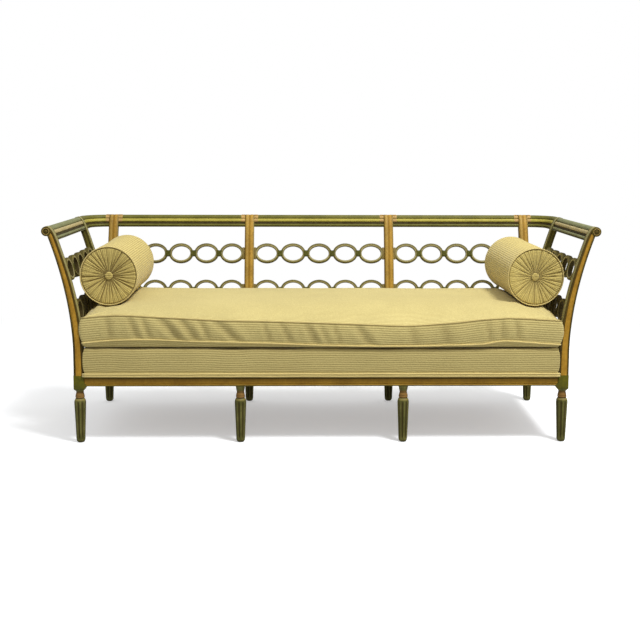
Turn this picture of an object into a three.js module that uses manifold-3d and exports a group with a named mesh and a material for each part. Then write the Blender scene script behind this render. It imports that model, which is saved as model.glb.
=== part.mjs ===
// Recamier: a painted open settee with flared posts, a rolled crest rail and two tiers of oval rings.
// An upholstered deck sits on the seat frame, with one long loose cushion and two round bolsters on it.
// Millimetres, +Z up, front towards -Y, right end towards +X.

import * as THREE from 'three';
import * as BufferGeometryUtils from 'three/addons/utils/BufferGeometryUtils.js';
import Module from 'manifold-3d';

const wasm = await Module();
wasm.setup();

// Clearances between pieces
const SEAT_GAP = 0.3;
const CLOTH_GAP = 0.8;

// Plan of the frame: spans between leg centres, outward run of the arms, how far the outer back posts
// stand inside the back legs, opening at each rear corner
const LEG_SPAN = 1797;
const INNER_LEG_SPAN = 607;
const LEG_DEPTH = 660;
const ARM_SPLAY = 12.7;
const BACK_POST_INSET = 16.2;
const CORNER_OPENING = 28.25;

// Seat rails, blocks and what they carry
const RAIL_BOTTOM = 214;
const RAIL_HEIGHT = 34.5;
const RAIL_THICK = 32;
const RAIL_BEAD_RADIUS = 3.5;
const BLOCK_DROP = 11.5;
const BLOCK_HEIGHT = 53.6;
const BLOCK_STEP = 1;
const BOARD_THICK = 12;
const BEARER_WIDTH = 45;
const END_BEARER_WIDTH = 22;

// Flared posts with a rolled head: full thickness at the block, slim from a height upwards
const POST_WIDTH = 40;
const POST_THICK = 37.5;
const POST_SLIM = 27;
const SLIM_HEIGHT = 700;
const FLARE_START = 340;
const FLARE_REACH = 80;
const FLARE_POWER = 1.85;
const HEAD_HEIGHT = 788.5;
const HEAD_PROUD = 8;
const ROLL_RADIUS = 18;
const FLARE_DROP = 29.5;
const SHOULDER_DROP = 31;
const ROSETTE_RADIUS = 13.5;
const ROSETTE_PROUD = 4.5;

// Crest rail between the posts
const CREST_SKIRT = 3;
const CREST_INSET = 1.5;
const CREST_BACK_INSET = 8;
const REED_DEPTH = 4;

// Turned and fluted legs
const LEG_RADIUS = 22;
const FOOT_RADIUS = 16.3;
const LEG_NECK_RADIUS = 15.2;
const LEG_COLLAR_RADIUS = 17.8;
const LEG_CAP_RADIUS = 19.5;
const FLUTE_DEPTH = 3;
const FLUTE_COUNT = 8;
const COLLAR_HEIGHT = 20;
const NECK_RISE = 6.5;
const CAP_HEIGHT = 11;

// Ring galleries
const TIER_SPACING = 155;
const UPPER_TIER_DROP = 114;
const RING_COUNT = 5;
const RING_HEIGHT = 89.5;
const RING_THICK = 13;
const RING_SPACE = 4.5;
const GALLERY_DEPTH = 20;
const KNOT_WIDTH = 26;
const KNOT_HEIGHT = 27;
const KNOT_PROUD = 1.5;
const END_BLOCK_WIDTH = 10;
const END_BLOCK_HEIGHT = 51;

// Upholstered deck
const DECK_HEIGHT = 108.2;
const DECK_SETBACK = 1.5;
const DECK_CORNER = 5;
const DECK_DRAW = 8;

// Loose seat cushion
const CUSHION_BAND = 102.7;
const CUSHION_OVERHANG = 11.5;
const CUSHION_CORNER = 22;
const CUSHION_DRAW = 14;
const CROWN_RISE = 62;
const CROWN_END_SOFTNESS = 30;
const CROWN_FRONT_SOFTNESS = 110;
const CROWN_BACK_SOFTNESS = 40;

// Bolsters and their covered buttons
const BOLSTER_RADIUS = 107;
const BOLSTER_LENGTH = 445;
const BOLSTER_POST_GAP = 7;
const BOLSTER_SINK = 1;
const BOLSTER_PLEATS = 14;
const PLEAT_DEPTH = 3;
const END_DISH = 7;
const BUTTON_RADIUS = 13;
const BUTTON_HEIGHT = 9;

// Levels derived from the sizes above
const RAIL_TOP = RAIL_BOTTOM + RAIL_HEIGHT;
const BLOCK_BOTTOM = RAIL_BOTTOM - BLOCK_DROP;
const BLOCK_TOP = BLOCK_BOTTOM + BLOCK_HEIGHT;
const NECK_HEIGHT = BLOCK_BOTTOM - CAP_HEIGHT;
const COLLAR_BOTTOM = NECK_HEIGHT - NECK_RISE - COLLAR_HEIGHT;
const DECK_BOTTOM = RAIL_TOP + SEAT_GAP;
const DECK_TOP = DECK_BOTTOM + DECK_HEIGHT;
const CUSHION_BOTTOM = DECK_TOP + SEAT_GAP;
const CUSHION_SEAM = CUSHION_BOTTOM + CUSHION_BAND;
const FLARE_TOP = HEAD_HEIGHT - FLARE_DROP;
const SHOULDER_HEIGHT = HEAD_HEIGHT - SHOULDER_DROP;
const CREST_BOTTOM = SHOULDER_HEIGHT - CREST_SKIRT;
const UPPER_TIER = CREST_BOTTOM - UPPER_TIER_DROP;
const LOWER_TIER = UPPER_TIER - TIER_SPACING;

// Lines in plan: outer face of the front posts, back face of the back posts, inner faces of their blocks
const POST_HALF = POST_WIDTH / 2;
const ARM_FACE = LEG_SPAN / 2 + POST_THICK / 2;
const BACK_FACE = LEG_DEPTH + POST_THICK / 2;
const BLOCK_INNER_X = ARM_FACE - POST_THICK - BLOCK_STEP;
const BLOCK_INNER_Y = BACK_FACE - POST_THICK - BLOCK_STEP;
const REAR_ARM_SETBACK = BLOCK_INNER_Y - CORNER_OPENING - POST_HALF;
const REAR_LEG_SPAN = LEG_SPAN + 2 * ARM_SPLAY;
const BACK_POST_SPAN = REAR_LEG_SPAN - 2 * BACK_POST_INSET;
const CORNER_INNER_X = BACK_POST_SPAN / 2 - POST_HALF;
const SPLAY_RATE = ARM_SPLAY / LEG_DEPTH;
const HEAD_REACH = FLARE_REACH + HEAD_PROUD;
const CUSHION_FRONT = -POST_HALF + DECK_SETBACK - CUSHION_OVERHANG;
const SOFT_BACK = BLOCK_INNER_Y - CLOTH_GAP;
const SOFT_HALF = BLOCK_INNER_X - CLOTH_GAP;
const BOLSTER_REAR = REAR_ARM_SETBACK - POST_HALF - BOLSTER_POST_GAP;
const BOLSTER_FRONT = BOLSTER_REAR - BOLSTER_LENGTH;

const OLIVE = new THREE.MeshStandardMaterial({ color: 0x6b6b2c, roughness: 0.45, metalness: 0 });
const OCHRE = new THREE.MeshStandardMaterial({ color: 0xb08f45, roughness: 0.45, metalness: 0 });
const RAW_WOOD = new THREE.MeshStandardMaterial({ color: 0xa98b63, roughness: 0.8, metalness: 0 });
const CORDED_CLOTH = new THREE.MeshStandardMaterial({ color: 0xcdbb7c, roughness: 0.95, metalness: 0 });

// How far a post's outer edge leans out at a height
function flareAt(z) {
  const rise = Math.max(0, z - FLARE_START) / (FLARE_TOP - FLARE_START);
  return FLARE_REACH * rise ** FLARE_POWER;
}

// Lean of the post from the vertical at a height, in radians
function leanAt(z) {
  const height = FLARE_TOP - FLARE_START;
  const rise = Math.max(0, z - FLARE_START) / height;
  return Math.atan((FLARE_REACH * FLARE_POWER * rise ** (FLARE_POWER - 1)) / height);
}

// Thickness of a post at a height, from its outer edge inwards
function thickAt(z) {
  const rise = Math.min(1, Math.max(0, z - BLOCK_TOP) / (SLIM_HEIGHT - BLOCK_TOP));
  return POST_THICK - (POST_THICK - POST_SLIM) * rise;
}

// Triangles that fill a closed outline, turning the same way as it does
function fillOutline(points) {
  const triangles = THREE.ShapeUtils.triangulateShape([...points], []);
  const area = (corners) => THREE.ShapeUtils.area(corners);
  const filled = triangles.reduce((sum, triangle) => sum + area(triangle.map((i) => points[i])), 0);
  return filled * area(points) > 0 ? triangles : triangles.map(([a, b, c]) => [a, c, b]);
}

// Closed body from rings of points, each with the same count, whose ends are filled as the flat outline is
function loft(rings, flat) {
  const count = rings[0].length;
  const positions = rings.flat().flatMap((p) => [p.x, p.y, p.z]);
  const index = [];
  for (let ring = 0; ring < rings.length - 1; ring += 1) {
    for (let i = 0; i < count; i += 1) {
      const a = ring * count + i;
      const b = ring * count + ((i + 1) % count);
      index.push(a, b, b + count, a, b + count, a + count);
    }
  }
  const last = (rings.length - 1) * count;
  for (const [a, b, c] of fillOutline(flat)) {
    index.push(a, c, b, last + a, last + b, last + c);
  }
  return facingOut(positions, index);
}

// Indexed geometry whose faces point out, whichever way its rings ran
function facingOut(positions, index) {
  const point = (i) => new THREE.Vector3().fromArray(positions, 3 * i);
  let volume = 0;
  for (let i = 0; i < index.length; i += 3) {
    volume += point(index[i]).dot(point(index[i + 1]).cross(point(index[i + 2])));
  }
  if (volume < 0) {
    index.reverse();
  }
  const geometry = new THREE.BufferGeometry();
  geometry.setAttribute('position', new THREE.Float32BufferAttribute(positions, 3));
  geometry.setIndex(index);
  return geometry;
}

// Section drawn in (out, z), carried along stations that each give a place in plan and the outward direction
function carry(section, stations) {
  const rings = stations.map(({ x, y, out }) =>
    section.map((p) => new THREE.Vector3(x + out.x * p.x, y + out.y * p.x, p.y)));
  return loft(rings, section);
}

const sides = [{ name: 'left', sign: -1 }, { name: 'right', sign: 1 }];
const outwards = (sign) => ({ x: sign, y: 0 });
const BACKWARDS = { x: 0, y: 1 };
const FORWARDS = { x: 0, y: -1 };

// Two stations a width apart, square to the outward direction
function across(x, y, out, width) {
  const side = { x: -out.y, y: out.x };
  const halves = [-width / 2, width / 2];
  return halves.map((reach) => ({ x: x + side.x * reach, y: y + side.y * reach, out }));
}

// Two stations along an arm, on a line that the splay carries outwards
function alongArm(sign, line, from, to) {
  return [from, to].map((y) => ({ x: sign * (line + SPLAY_RATE * y), y, out: outwards(sign) }));
}

// Corner points of a drawn outline, with no two on one spot
function outline(draw, divisions) {
  const shape = new THREE.Shape();
  draw(shape);
  const points = shape.extractPoints(divisions).shape;
  const apart = SEAT_GAP / 10;
  return points.filter((p, i) => p.distanceTo(points[(i + 1) % points.length]) > apart);
}

const recamier = new THREE.Group();

function addMesh(name, geometry, material, parent = recamier) {
  const mesh = new THREE.Mesh(geometry, material);
  mesh.name = name;
  parent.add(mesh);
  return mesh;
}

// Inner edge of a post or crest rail, from its straight flare over the shoulder to the top of the roll
function shoulderCurve(inset) {
  const innerEdge = flareAt(SHOULDER_HEIGHT) - thickAt(SHOULDER_HEIGHT);
  const start = new THREE.Vector2(innerEdge + inset, SHOULDER_HEIGHT);
  const end = new THREE.Vector2(HEAD_REACH, HEAD_HEIGHT + ROLL_RADIUS - inset);
  const lean = Math.tan(leanAt(SHOULDER_HEIGHT));
  const bend = new THREE.Vector2(start.x + lean * (end.y - start.y), end.y);
  return new THREE.QuadraticBezierCurve(start, bend, end);
}

// Side outline of a flared post: foot, optional square block, flare, shoulder and rolled head
function postOutline(foot, hasBlock) {
  const flareSteps = 7;
  const rollDivisions = 5;
  const jointHeight = HEAD_HEIGHT - ROLL_RADIUS;
  const heights = Array.from({ length: flareSteps + 1 }, (_, i) => i / flareSteps)
    .map((share) => FLARE_START + (SHOULDER_HEIGHT - FLARE_START) * share);
  const inner = heights.map((z) => new THREE.Vector2(flareAt(z) - thickAt(z), z));
  const outer = heights.map((z) => new THREE.Vector2(flareAt(z), z)).reverse();
  return outline((shape) => {
    if (hasBlock) {
      shape.moveTo(BLOCK_STEP, BLOCK_TOP);
      shape.lineTo(BLOCK_STEP, foot);
      shape.lineTo(-POST_THICK - BLOCK_STEP, foot);
      shape.lineTo(-POST_THICK - BLOCK_STEP, BLOCK_TOP);
      shape.lineTo(-POST_THICK, BLOCK_TOP);
    } else {
      shape.moveTo(0, foot);
      shape.lineTo(-POST_THICK, foot);
    }
    inner.forEach((p) => shape.lineTo(p.x, p.y));
    const { v1, v2 } = shoulderCurve(0);
    shape.quadraticCurveTo(v1.x, v1.y, v2.x, v2.y);
    const joint = new THREE.Vector2(flareAt(jointHeight) - HEAD_REACH, jointHeight - HEAD_HEIGHT);
    shape.absarc(HEAD_REACH, HEAD_HEIGHT, ROLL_RADIUS, Math.PI / 2, joint.angle() - 2 * Math.PI, true);
    outer.forEach((p) => shape.lineTo(p.x, p.y));
    if (hasBlock) {
      shape.lineTo(0, BLOCK_TOP);
    }
  }, rollDivisions);
}

// Crest rail section: lower reed, main reed and roll towards the seat, plain at the back
function crestSection() {
  const reedEdgeShares = [[0, 0.1], [0.21, 0.44], [0.465, 1]];
  const reedSteps = 4;
  const curve = shoulderCurve(CREST_INSET);
  const section = [];
  const lowerRise = curve.v0.y - CREST_BOTTOM;
  section.push(new THREE.Vector2(curve.v0.x - lowerRise * Math.tan(leanAt(CREST_BOTTOM)), CREST_BOTTOM));
  for (const [from, to] of reedEdgeShares) {
    for (let i = 0; i <= reedSteps; i += 1) {
      const reedShare = i / reedSteps;
      const curveShare = from + (to - from) * reedShare;
      const grooveShare = 1 - Math.sqrt(Math.max(0, 1 - (2 * reedShare - 1) ** 2));
      const isTop = curveShare === 1;
      const tangent = curve.getTangent(curveShare);
      const depth = isTop ? 0 : REED_DEPTH * grooveShare;
      const sunk = new THREE.Vector2(tangent.y, -tangent.x).multiplyScalar(depth);
      section.push(curve.getPoint(curveShare).add(sunk));
    }
  }
  const radius = ROLL_RADIUS - CREST_INSET;
  const rollBottom = HEAD_HEIGHT - ROLL_RADIUS;
  const neck = new THREE.Vector2(flareAt(rollBottom) - CREST_BACK_INSET, rollBottom);
  const start = Math.PI / 2;
  const end = -Math.PI / 2 - Math.asin(Math.min(1, CREST_BACK_INSET / radius));
  const rollSteps = 8;
  for (let i = 1; i <= rollSteps; i += 1) {
    const angle = start + (end - start) * (i / rollSteps);
    const spoke = new THREE.Vector2(Math.cos(angle), Math.sin(angle)).multiplyScalar(radius);
    section.push(spoke.add(new THREE.Vector2(HEAD_REACH, HEAD_HEIGHT)));
  }
  section.push(neck);
  section.push(new THREE.Vector2(flareAt(CREST_BOTTOM) - CREST_BACK_INSET, CREST_BOTTOM));
  return section;
}

// Seat rail section: flat face with a half-round bead along its lower outer edge
function railSection() {
  const face = RAIL_THICK / 2;
  const beadDivisions = 5;
  return outline((shape) => {
    shape.moveTo(-face, RAIL_BOTTOM);
    shape.lineTo(face, RAIL_BOTTOM);
    shape.absarc(face, RAIL_BOTTOM + RAIL_BEAD_RADIUS, RAIL_BEAD_RADIUS, -Math.PI / 2, Math.PI / 2, false);
    shape.lineTo(face, RAIL_TOP);
    shape.lineTo(-face, RAIL_TOP);
  }, beadDivisions);
}

// Depths between which a side rail fits, from the front post's back face to the back post's block
const SIDE_RAIL_FRONT = POST_HALF + SEAT_GAP;
const SIDE_RAIL_BACK = BLOCK_INNER_Y - SEAT_GAP;

function addSeatRails() {
  const section = railSection();
  const frontHalf = BLOCK_INNER_X - SEAT_GAP;
  const backHalf = CORNER_INNER_X - SEAT_GAP;
  addMesh('front_rail', carry(section, across(0, 0, FORWARDS, 2 * frontHalf)), OCHRE);
  addMesh('back_rail', carry(section, across(0, LEG_DEPTH, BACKWARDS, 2 * backHalf)), OCHRE);
  for (const { name, sign } of sides) {
    const stations = alongArm(sign, LEG_SPAN / 2, SIDE_RAIL_FRONT, SIDE_RAIL_BACK);
    addMesh(`side_rail_${name}`, carry(section, stations), OCHRE);
  }
}

function boxBetween(low, high) {
  const size = new THREE.Vector3().subVectors(high, low);
  const box = new THREE.BoxGeometry(size.x, size.y, size.z);
  return box.translate(low.x + size.x / 2, low.y + size.y / 2, low.z + size.z / 2);
}

// Board that carries the deck, flush with the rails, and the bearers below it
function addSeatSupport() {
  const railInner = RAIL_THICK / 2 + SEAT_GAP;
  const boardBottom = RAIL_TOP - BOARD_THICK;
  const bearerTop = boardBottom - SEAT_GAP;
  const boardHalf = Math.min(BLOCK_INNER_X, CORNER_INNER_X) - 2 * SEAT_GAP;
  const board = boxBetween(
    new THREE.Vector3(-boardHalf, railInner, boardBottom),
    new THREE.Vector3(boardHalf, LEG_DEPTH - railInner, RAIL_TOP));
  addMesh('seat_board', board, RAW_WOOD);
  const endBearer = [
    new THREE.Vector2(-END_BEARER_WIDTH, RAIL_BOTTOM),
    new THREE.Vector2(0, RAIL_BOTTOM),
    new THREE.Vector2(0, bearerTop),
    new THREE.Vector2(-END_BEARER_WIDTH, bearerTop),
  ];
  for (const { name, sign } of sides) {
    const middle = sign * INNER_LEG_SPAN / 2;
    const cross = boxBetween(
      new THREE.Vector3(middle - BEARER_WIDTH / 2, railInner, RAIL_BOTTOM),
      new THREE.Vector3(middle + BEARER_WIDTH / 2, LEG_DEPTH - railInner, bearerTop));
    addMesh(`cross_bearer_${name}`, cross, RAW_WOOD);
    const stations = alongArm(sign, LEG_SPAN / 2 - railInner, SIDE_RAIL_FRONT, SIDE_RAIL_BACK);
    addMesh(`end_bearer_${name}`, carry(endBearer, stations), RAW_WOOD);
  }
}

// Places along a row of four legs: outer pair and inner pair
const legLines = (span) => [-span / 2, -INNER_LEG_SPAN / 2, INNER_LEG_SPAN / 2, span / 2];
const backPostLines = legLines(BACK_POST_SPAN);
const isOuter = (x) => Math.abs(x) > INNER_LEG_SPAN / 2;

// Outer face line of an arm's posts at a depth
const armFaceAt = (y) => ARM_FACE + SPLAY_RATE * y;

function addPosts() {
  const blocked = postOutline(BLOCK_BOTTOM, true);
  const standing = postOutline(RAIL_TOP + SEAT_GAP, false);
  const onBlock = postOutline(BLOCK_TOP + SEAT_GAP, false);
  for (const { name, sign } of sides) {
    const out = outwards(sign);
    const front = across(sign * ARM_FACE, 0, out, POST_WIDTH);
    const rear = across(sign * armFaceAt(REAR_ARM_SETBACK), REAR_ARM_SETBACK, out, POST_WIDTH);
    addMesh(`front_arm_post_${name}`, carry(blocked, front), OCHRE);
    addMesh(`rear_arm_post_${name}`, carry(standing, rear), OCHRE);
  }
  backPostLines.forEach((x, i) => {
    const stations = across(x, BACK_FACE, BACKWARDS, POST_WIDTH);
    addMesh(`back_post_${i + 1}`, carry(isOuter(x) ? onBlock : standing, stations), OCHRE);
  });
}

// Rear corner blocks, wide enough to join an outer back post to the leg that stands further out
function addCornerBlocks() {
  const outerX = REAR_LEG_SPAN / 2 + POST_HALF;
  const width = outerX - CORNER_INNER_X;
  const depth = POST_THICK + 2 * BLOCK_STEP;
  for (const { name, sign } of sides) {
    const block = new THREE.BoxGeometry(width, depth, BLOCK_HEIGHT);
    const mesh = addMesh(`corner_block_${name}`, block, OLIVE);
    const middleX = sign * (outerX - width / 2);
    mesh.position.set(middleX, BLOCK_INNER_Y + depth / 2, BLOCK_BOTTOM + BLOCK_HEIGHT / 2);
  }
}

// Turned boss on the front of each arm's scroll
function addRosettes() {
  const profileShares = [[0, 0], [1, 0], [1, 0.55], [0.82, 0.75], [0.6, 0.4], [0.45, 0.9], [0, 1]];
  const profile = profileShares.map(([r, h]) => new THREE.Vector2(r * ROSETTE_RADIUS, h * ROSETTE_PROUD));
  const turns = 14;
  for (const { name, sign } of sides) {
    const rosette = addMesh(`scroll_rosette_${name}`, new THREE.LatheGeometry(profile, turns), OCHRE);
    rosette.rotation.x = Math.PI;
    rosette.position.set(sign * (ARM_FACE + HEAD_REACH), -POST_HALF - SEAT_GAP, HEAD_HEIGHT);
  }
}

// Stations of a corner: straight back from the rear arm post, then a quarter round to the outer back post
function cornerStations(sign) {
  const arcSteps = 6;
  const rollSide = armFaceAt(REAR_ARM_SETBACK) + HEAD_REACH;
  const rollBack = BACK_FACE + HEAD_REACH;
  const end = BACK_POST_SPAN / 2 + POST_HALF + SEAT_GAP;
  const radius = rollSide - end;
  const start = { x: sign * armFaceAt(REAR_ARM_SETBACK), y: REAR_ARM_SETBACK + POST_HALF + SEAT_GAP };
  const turns = Array.from({ length: arcSteps + 1 }, (_, i) => (Math.PI / 2) * (i / arcSteps));
  const round = turns.map((turn) => {
    const out = { x: sign * Math.cos(turn), y: Math.sin(turn) };
    const reach = radius - HEAD_REACH;
    return { x: sign * end + reach * out.x, y: rollBack - radius + reach * out.y, out };
  });
  return [{ ...start, out: outwards(sign) }, ...round];
}

function addCrestRails() {
  const section = crestSection();
  const front = POST_HALF + SEAT_GAP;
  const rear = REAR_ARM_SETBACK - POST_HALF - SEAT_GAP;
  for (const { name, sign } of sides) {
    addMesh(`arm_crest_rail_${name}`, carry(section, alongArm(sign, ARM_FACE, front, rear)), OLIVE);
    addMesh(`corner_crest_rail_${name}`, carry(section, cornerStations(sign)), OLIVE);
  }
  backBays().forEach(({ middle, clear }, i) => {
    const stations = across(middle, BACK_FACE, BACKWARDS, clear - 2 * SEAT_GAP);
    addMesh(`back_crest_rail_${i + 1}`, carry(section, stations), OLIVE);
  });
}

// Bays between the back posts: where each is centred and how wide it is
function backBays() {
  return backPostLines.slice(1).map((x, i) => ({
    middle: (x + backPostLines[i]) / 2,
    clear: x - backPostLines[i] - POST_WIDTH,
  }));
}

// Half of a gallery's outer edge, left to right: end block, ring tops and the notches at the knots
function galleryEdge(clear, side) {
  const pitch = clear / RING_COUNT;
  const halfWide = (pitch - RING_SPACE) / 2;
  const halfHigh = RING_HEIGHT / 2;
  const notch = Math.asin(KNOT_HEIGHT / 2 / halfHigh);
  const blockEdge = clear / 2 - END_BLOCK_WIDTH;
  const blockAngle = Math.acos(Math.min(1, (pitch / 2 - END_BLOCK_WIDTH) / halfWide));
  const steps = 5;
  const points = [[-clear / 2, END_BLOCK_HEIGHT / 2], [-blockEdge, END_BLOCK_HEIGHT / 2]];
  for (let ring = 0; ring < RING_COUNT; ring += 1) {
    const centre = (ring - (RING_COUNT - 1) / 2) * pitch;
    const from = ring === 0 ? blockAngle : notch;
    const to = ring === RING_COUNT - 1 ? blockAngle : notch;
    for (let i = 0; i <= steps; i += 1) {
      const angle = Math.PI - from - (Math.PI - from - to) * (i / steps);
      points.push([centre + halfWide * Math.cos(angle), halfHigh * Math.sin(angle)]);
    }
  }
  points.push([blockEdge, END_BLOCK_HEIGHT / 2], [clear / 2, END_BLOCK_HEIGHT / 2]);
  return points.map(([x, y]) => new THREE.Vector2(x, side * y));
}

// Flat chain of oval rings with an oval opening in each
function ringChain(clear) {
  const top = galleryEdge(clear, 1);
  const bottom = galleryEdge(clear, -1).reverse();
  const shape = new THREE.Shape([...top, ...bottom]);
  const pitch = clear / RING_COUNT;
  const holeSteps = 12;
  for (let ring = 0; ring < RING_COUNT; ring += 1) {
    const centre = (ring - (RING_COUNT - 1) / 2) * pitch;
    const halfWide = (pitch - RING_SPACE) / 2 - RING_THICK;
    const halfHigh = RING_HEIGHT / 2 - RING_THICK;
    const hole = new THREE.EllipseCurve(centre, 0, halfWide, halfHigh);
    shape.holes.push(new THREE.Path(hole.getPoints(holeSteps).slice(1)));
  }
  const chain = new THREE.ExtrudeGeometry(shape, { depth: GALLERY_DEPTH, bevelEnabled: false, steps: 1 });
  return chain.translate(0, 0, -GALLERY_DEPTH / 2);
}

function toSolid(geometry) {
  const bare = geometry.clone();
  bare.deleteAttribute('normal');
  bare.deleteAttribute('uv');
  const merged = BufferGeometryUtils.mergeVertices(bare);
  const vertProperties = new Float32Array(merged.attributes.position.array);
  const triVerts = new Uint32Array(merged.index.array);
  return new wasm.Manifold(new wasm.Mesh({ numProp: 3, vertProperties, triVerts }));
}

function toGeometry(solid) {
  const { vertProperties, triVerts } = solid.getMesh();
  const geometry = new THREE.BufferGeometry();
  geometry.setAttribute('position', new THREE.BufferAttribute(vertProperties, 3));
  geometry.setIndex(new THREE.BufferAttribute(triVerts, 1));
  return geometry;
}

// Ring chain with a raised knot wrapped round each joint between two rings
function galleryGeometry(clear) {
  let solid = toSolid(ringChain(clear));
  for (let joint = 1; joint < RING_COUNT; joint += 1) {
    const knot = new THREE.BoxGeometry(KNOT_WIDTH, KNOT_HEIGHT, GALLERY_DEPTH + 2 * KNOT_PROUD);
    knot.translate((joint - RING_COUNT / 2) * (clear / RING_COUNT), 0, 0);
    solid = solid.add(toSolid(knot));
  }
  return toGeometry(solid);
}

// Gallery set between two posts, leaning with them at its tier and drifting sideways where the arm splays
function placeGallery(geometry, { x, y, out, drift }, tier) {
  const lean = leanAt(tier);
  const up = new THREE.Vector3(out.x * Math.sin(lean), out.y * Math.sin(lean), Math.cos(lean));
  const along = new THREE.Vector3(-out.y, out.x, 0);
  const through = new THREE.Vector3().crossVectors(along, up);
  along.x += drift;
  const inward = flareAt(tier) - thickAt(tier) / 2;
  const placed = new THREE.Matrix4().makeBasis(along, up, through);
  placed.setPosition(x + out.x * inward, y + out.y * inward, tier);
  return geometry.clone().applyMatrix4(placed);
}

function addGalleries() {
  const tiers = [{ tier: UPPER_TIER, level: 'upper' }, { tier: LOWER_TIER, level: 'lower' }];
  const front = POST_HALF;
  const rear = REAR_ARM_SETBACK - POST_HALF;
  const side = galleryGeometry(rear - front - 2 * SEAT_GAP);
  const bays = backBays();
  const back = bays.map(({ clear }) => galleryGeometry(clear - 2 * SEAT_GAP));
  for (const { tier, level } of tiers) {
    bays.forEach(({ middle }, i) => {
      const place = { x: middle, y: BACK_FACE, out: BACKWARDS, drift: 0 };
      addMesh(`back_gallery_${level}_${i + 1}`, placeGallery(back[i], place, tier), OLIVE);
    });
    for (const { name, sign } of sides) {
      const y = (front + rear) / 2;
      const place = { x: sign * armFaceAt(y), y, out: outwards(sign), drift: SPLAY_RATE };
      addMesh(`arm_gallery_${level}_${name}`, placeGallery(side, place, tier), OLIVE);
    }
  }
}

// Leg rings from the foot up, each a height, a radius and a flute depth
function legRings(top) {
  const footShares = [[0, 0.72, 0], [0.2, 0.93, 0], [0.6, 1, 0.4]];
  const foot = footShares.map(([rise, reach, flute]) => (
    [rise * FOOT_RADIUS, reach * FOOT_RADIUS, flute * FLUTE_DEPTH]));
  const shaftShares = [[0.16, 0.1, 1], [0.88, 1, 1], [0.95, 0.94, 0.4]];
  const shaft = shaftShares.map(([rise, swell, flute]) => (
    [rise * COLLAR_BOTTOM, FOOT_RADIUS + (LEG_RADIUS - FOOT_RADIUS) * swell, flute * FLUTE_DEPTH]));
  const ringShares = [0.15, 0.7];
  const ring = ringShares.map((rise) => [COLLAR_BOTTOM + rise * COLLAR_HEIGHT, LEG_COLLAR_RADIUS, 0]);
  const neck = [NECK_HEIGHT, LEG_NECK_RADIUS, 0];
  return [...foot, ...shaft, [COLLAR_BOTTOM, LEG_NECK_RADIUS, 0], ...ring, neck, [top, LEG_CAP_RADIUS, 0]];
}

function legGeometry(top) {
  const points = 2 * FLUTE_COUNT;
  const rings = legRings(top).map(([z, radius, flute]) =>
    Array.from({ length: points }, (_, i) => {
      const angle = (i / points) * 2 * Math.PI;
      const reach = i % 2 === 0 ? radius : radius - flute;
      return new THREE.Vector3(reach * Math.cos(angle), reach * Math.sin(angle), z);
    }));
  const flat = rings[0].map((p) => new THREE.Vector2(p.x, p.y));
  return loft(rings, flat);
}

function addLegs() {
  const underBlock = legGeometry(BLOCK_BOTTOM - SEAT_GAP);
  const underRail = legGeometry(RAIL_BOTTOM - SEAT_GAP);
  const rows = [{ name: 'front', y: 0, span: LEG_SPAN }, { name: 'back', y: LEG_DEPTH, span: REAR_LEG_SPAN }];
  for (const { name, y, span } of rows) {
    legLines(span).forEach((x, i) => {
      const leg = addMesh(`${name}_leg_${i + 1}`, isOuter(x) ? underBlock : underRail, OLIVE);
      leg.position.set(x, y, 0);
    });
  }
}

// Half width of a rounded plan at a distance from its nearer long edge
function roundedHalf(half, corner, fromEdge) {
  if (fromEdge >= corner) {
    return half;
  }
  return half - corner + Math.sqrt(Math.max(0, corner ** 2 - (corner - fromEdge) ** 2));
}

// Upholstered box: its side levels are shares of the height and of the draw-in, and its top is modelled
function softBox({ half, front, back, corner, draw, columns, rows, levelShares, bottom, height, topAt }) {
  const middle = (front + back) / 2;
  const depthHalf = (back - front) / 2;
  const grid = rows.map((y) => {
    const reach = roundedHalf(half, corner, Math.min(y - front, back - y));
    return columns.map((x) => new THREE.Vector2((x * reach) / half, y));
  });
  const lastRow = rows.length - 1;
  const lastColumn = columns.length - 1;
  const border = [
    ...columns.slice(0, lastColumn).map((_, i) => [0, i]),
    ...rows.slice(0, lastRow).map((_, j) => [j, lastColumn]),
    ...columns.slice(1).map((_, i) => [lastRow, lastColumn - i]),
    ...rows.slice(1).map((_, j) => [lastRow - j, 0]),
  ];
  const drawn = (p, share) => new THREE.Vector2(
    p.x * (1 - (share * draw) / half),
    middle + (p.y - middle) * (1 - (share * draw) / depthHalf));
  const positions = [];
  const index = [];
  const addPoint = (p, z) => positions.push(p.x, p.y, z) / 3 - 1;
  const loops = levelShares.map(([rise, drawShare]) => (
    border.map(([j, i]) => addPoint(drawn(grid[j][i], drawShare), bottom + rise * height))));
  for (let level = 0; level < loops.length - 1; level += 1) {
    loops[level].forEach((a, i) => {
      const b = loops[level][(i + 1) % border.length];
      const c = loops[level + 1][(i + 1) % border.length];
      const d = loops[level + 1][i];
      index.push(a, b, c, a, c, d);
    });
  }
  const floor = border.map(([j, i]) => drawn(grid[j][i], levelShares[0][1]));
  for (const [a, b, c] of fillOutline(floor)) {
    index.push(loops[0][a], loops[0][c], loops[0][b]);
  }
  const topShare = levelShares[levelShares.length - 1][1];
  const onTop = new Map(border.map(([j, i], k) => [`${j},${i}`, loops[loops.length - 1][k]]));
  const vertex = grid.map((row, j) => row.map((p, i) => {
    const inner = drawn(p, topShare);
    return onTop.get(`${j},${i}`) ?? addPoint(inner, topAt(inner.x, inner.y));
  }));
  for (let j = 0; j < lastRow; j += 1) {
    for (let i = 0; i < lastColumn; i += 1) {
      const [a, b] = [vertex[j][i], vertex[j][i + 1]];
      const [c, d] = [vertex[j + 1][i + 1], vertex[j + 1][i]];
      index.push(a, b, c, a, c, d);
    }
  }
  return facingOut(positions, index);
}

// Places between two ends, packed closer near both
function eased(from, to, steps) {
  return Array.from({ length: steps + 1 }, (_, i) => {
    const share = (1 - Math.cos((Math.PI * i) / steps)) / 2;
    return from + (to - from) * share;
  });
}

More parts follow.
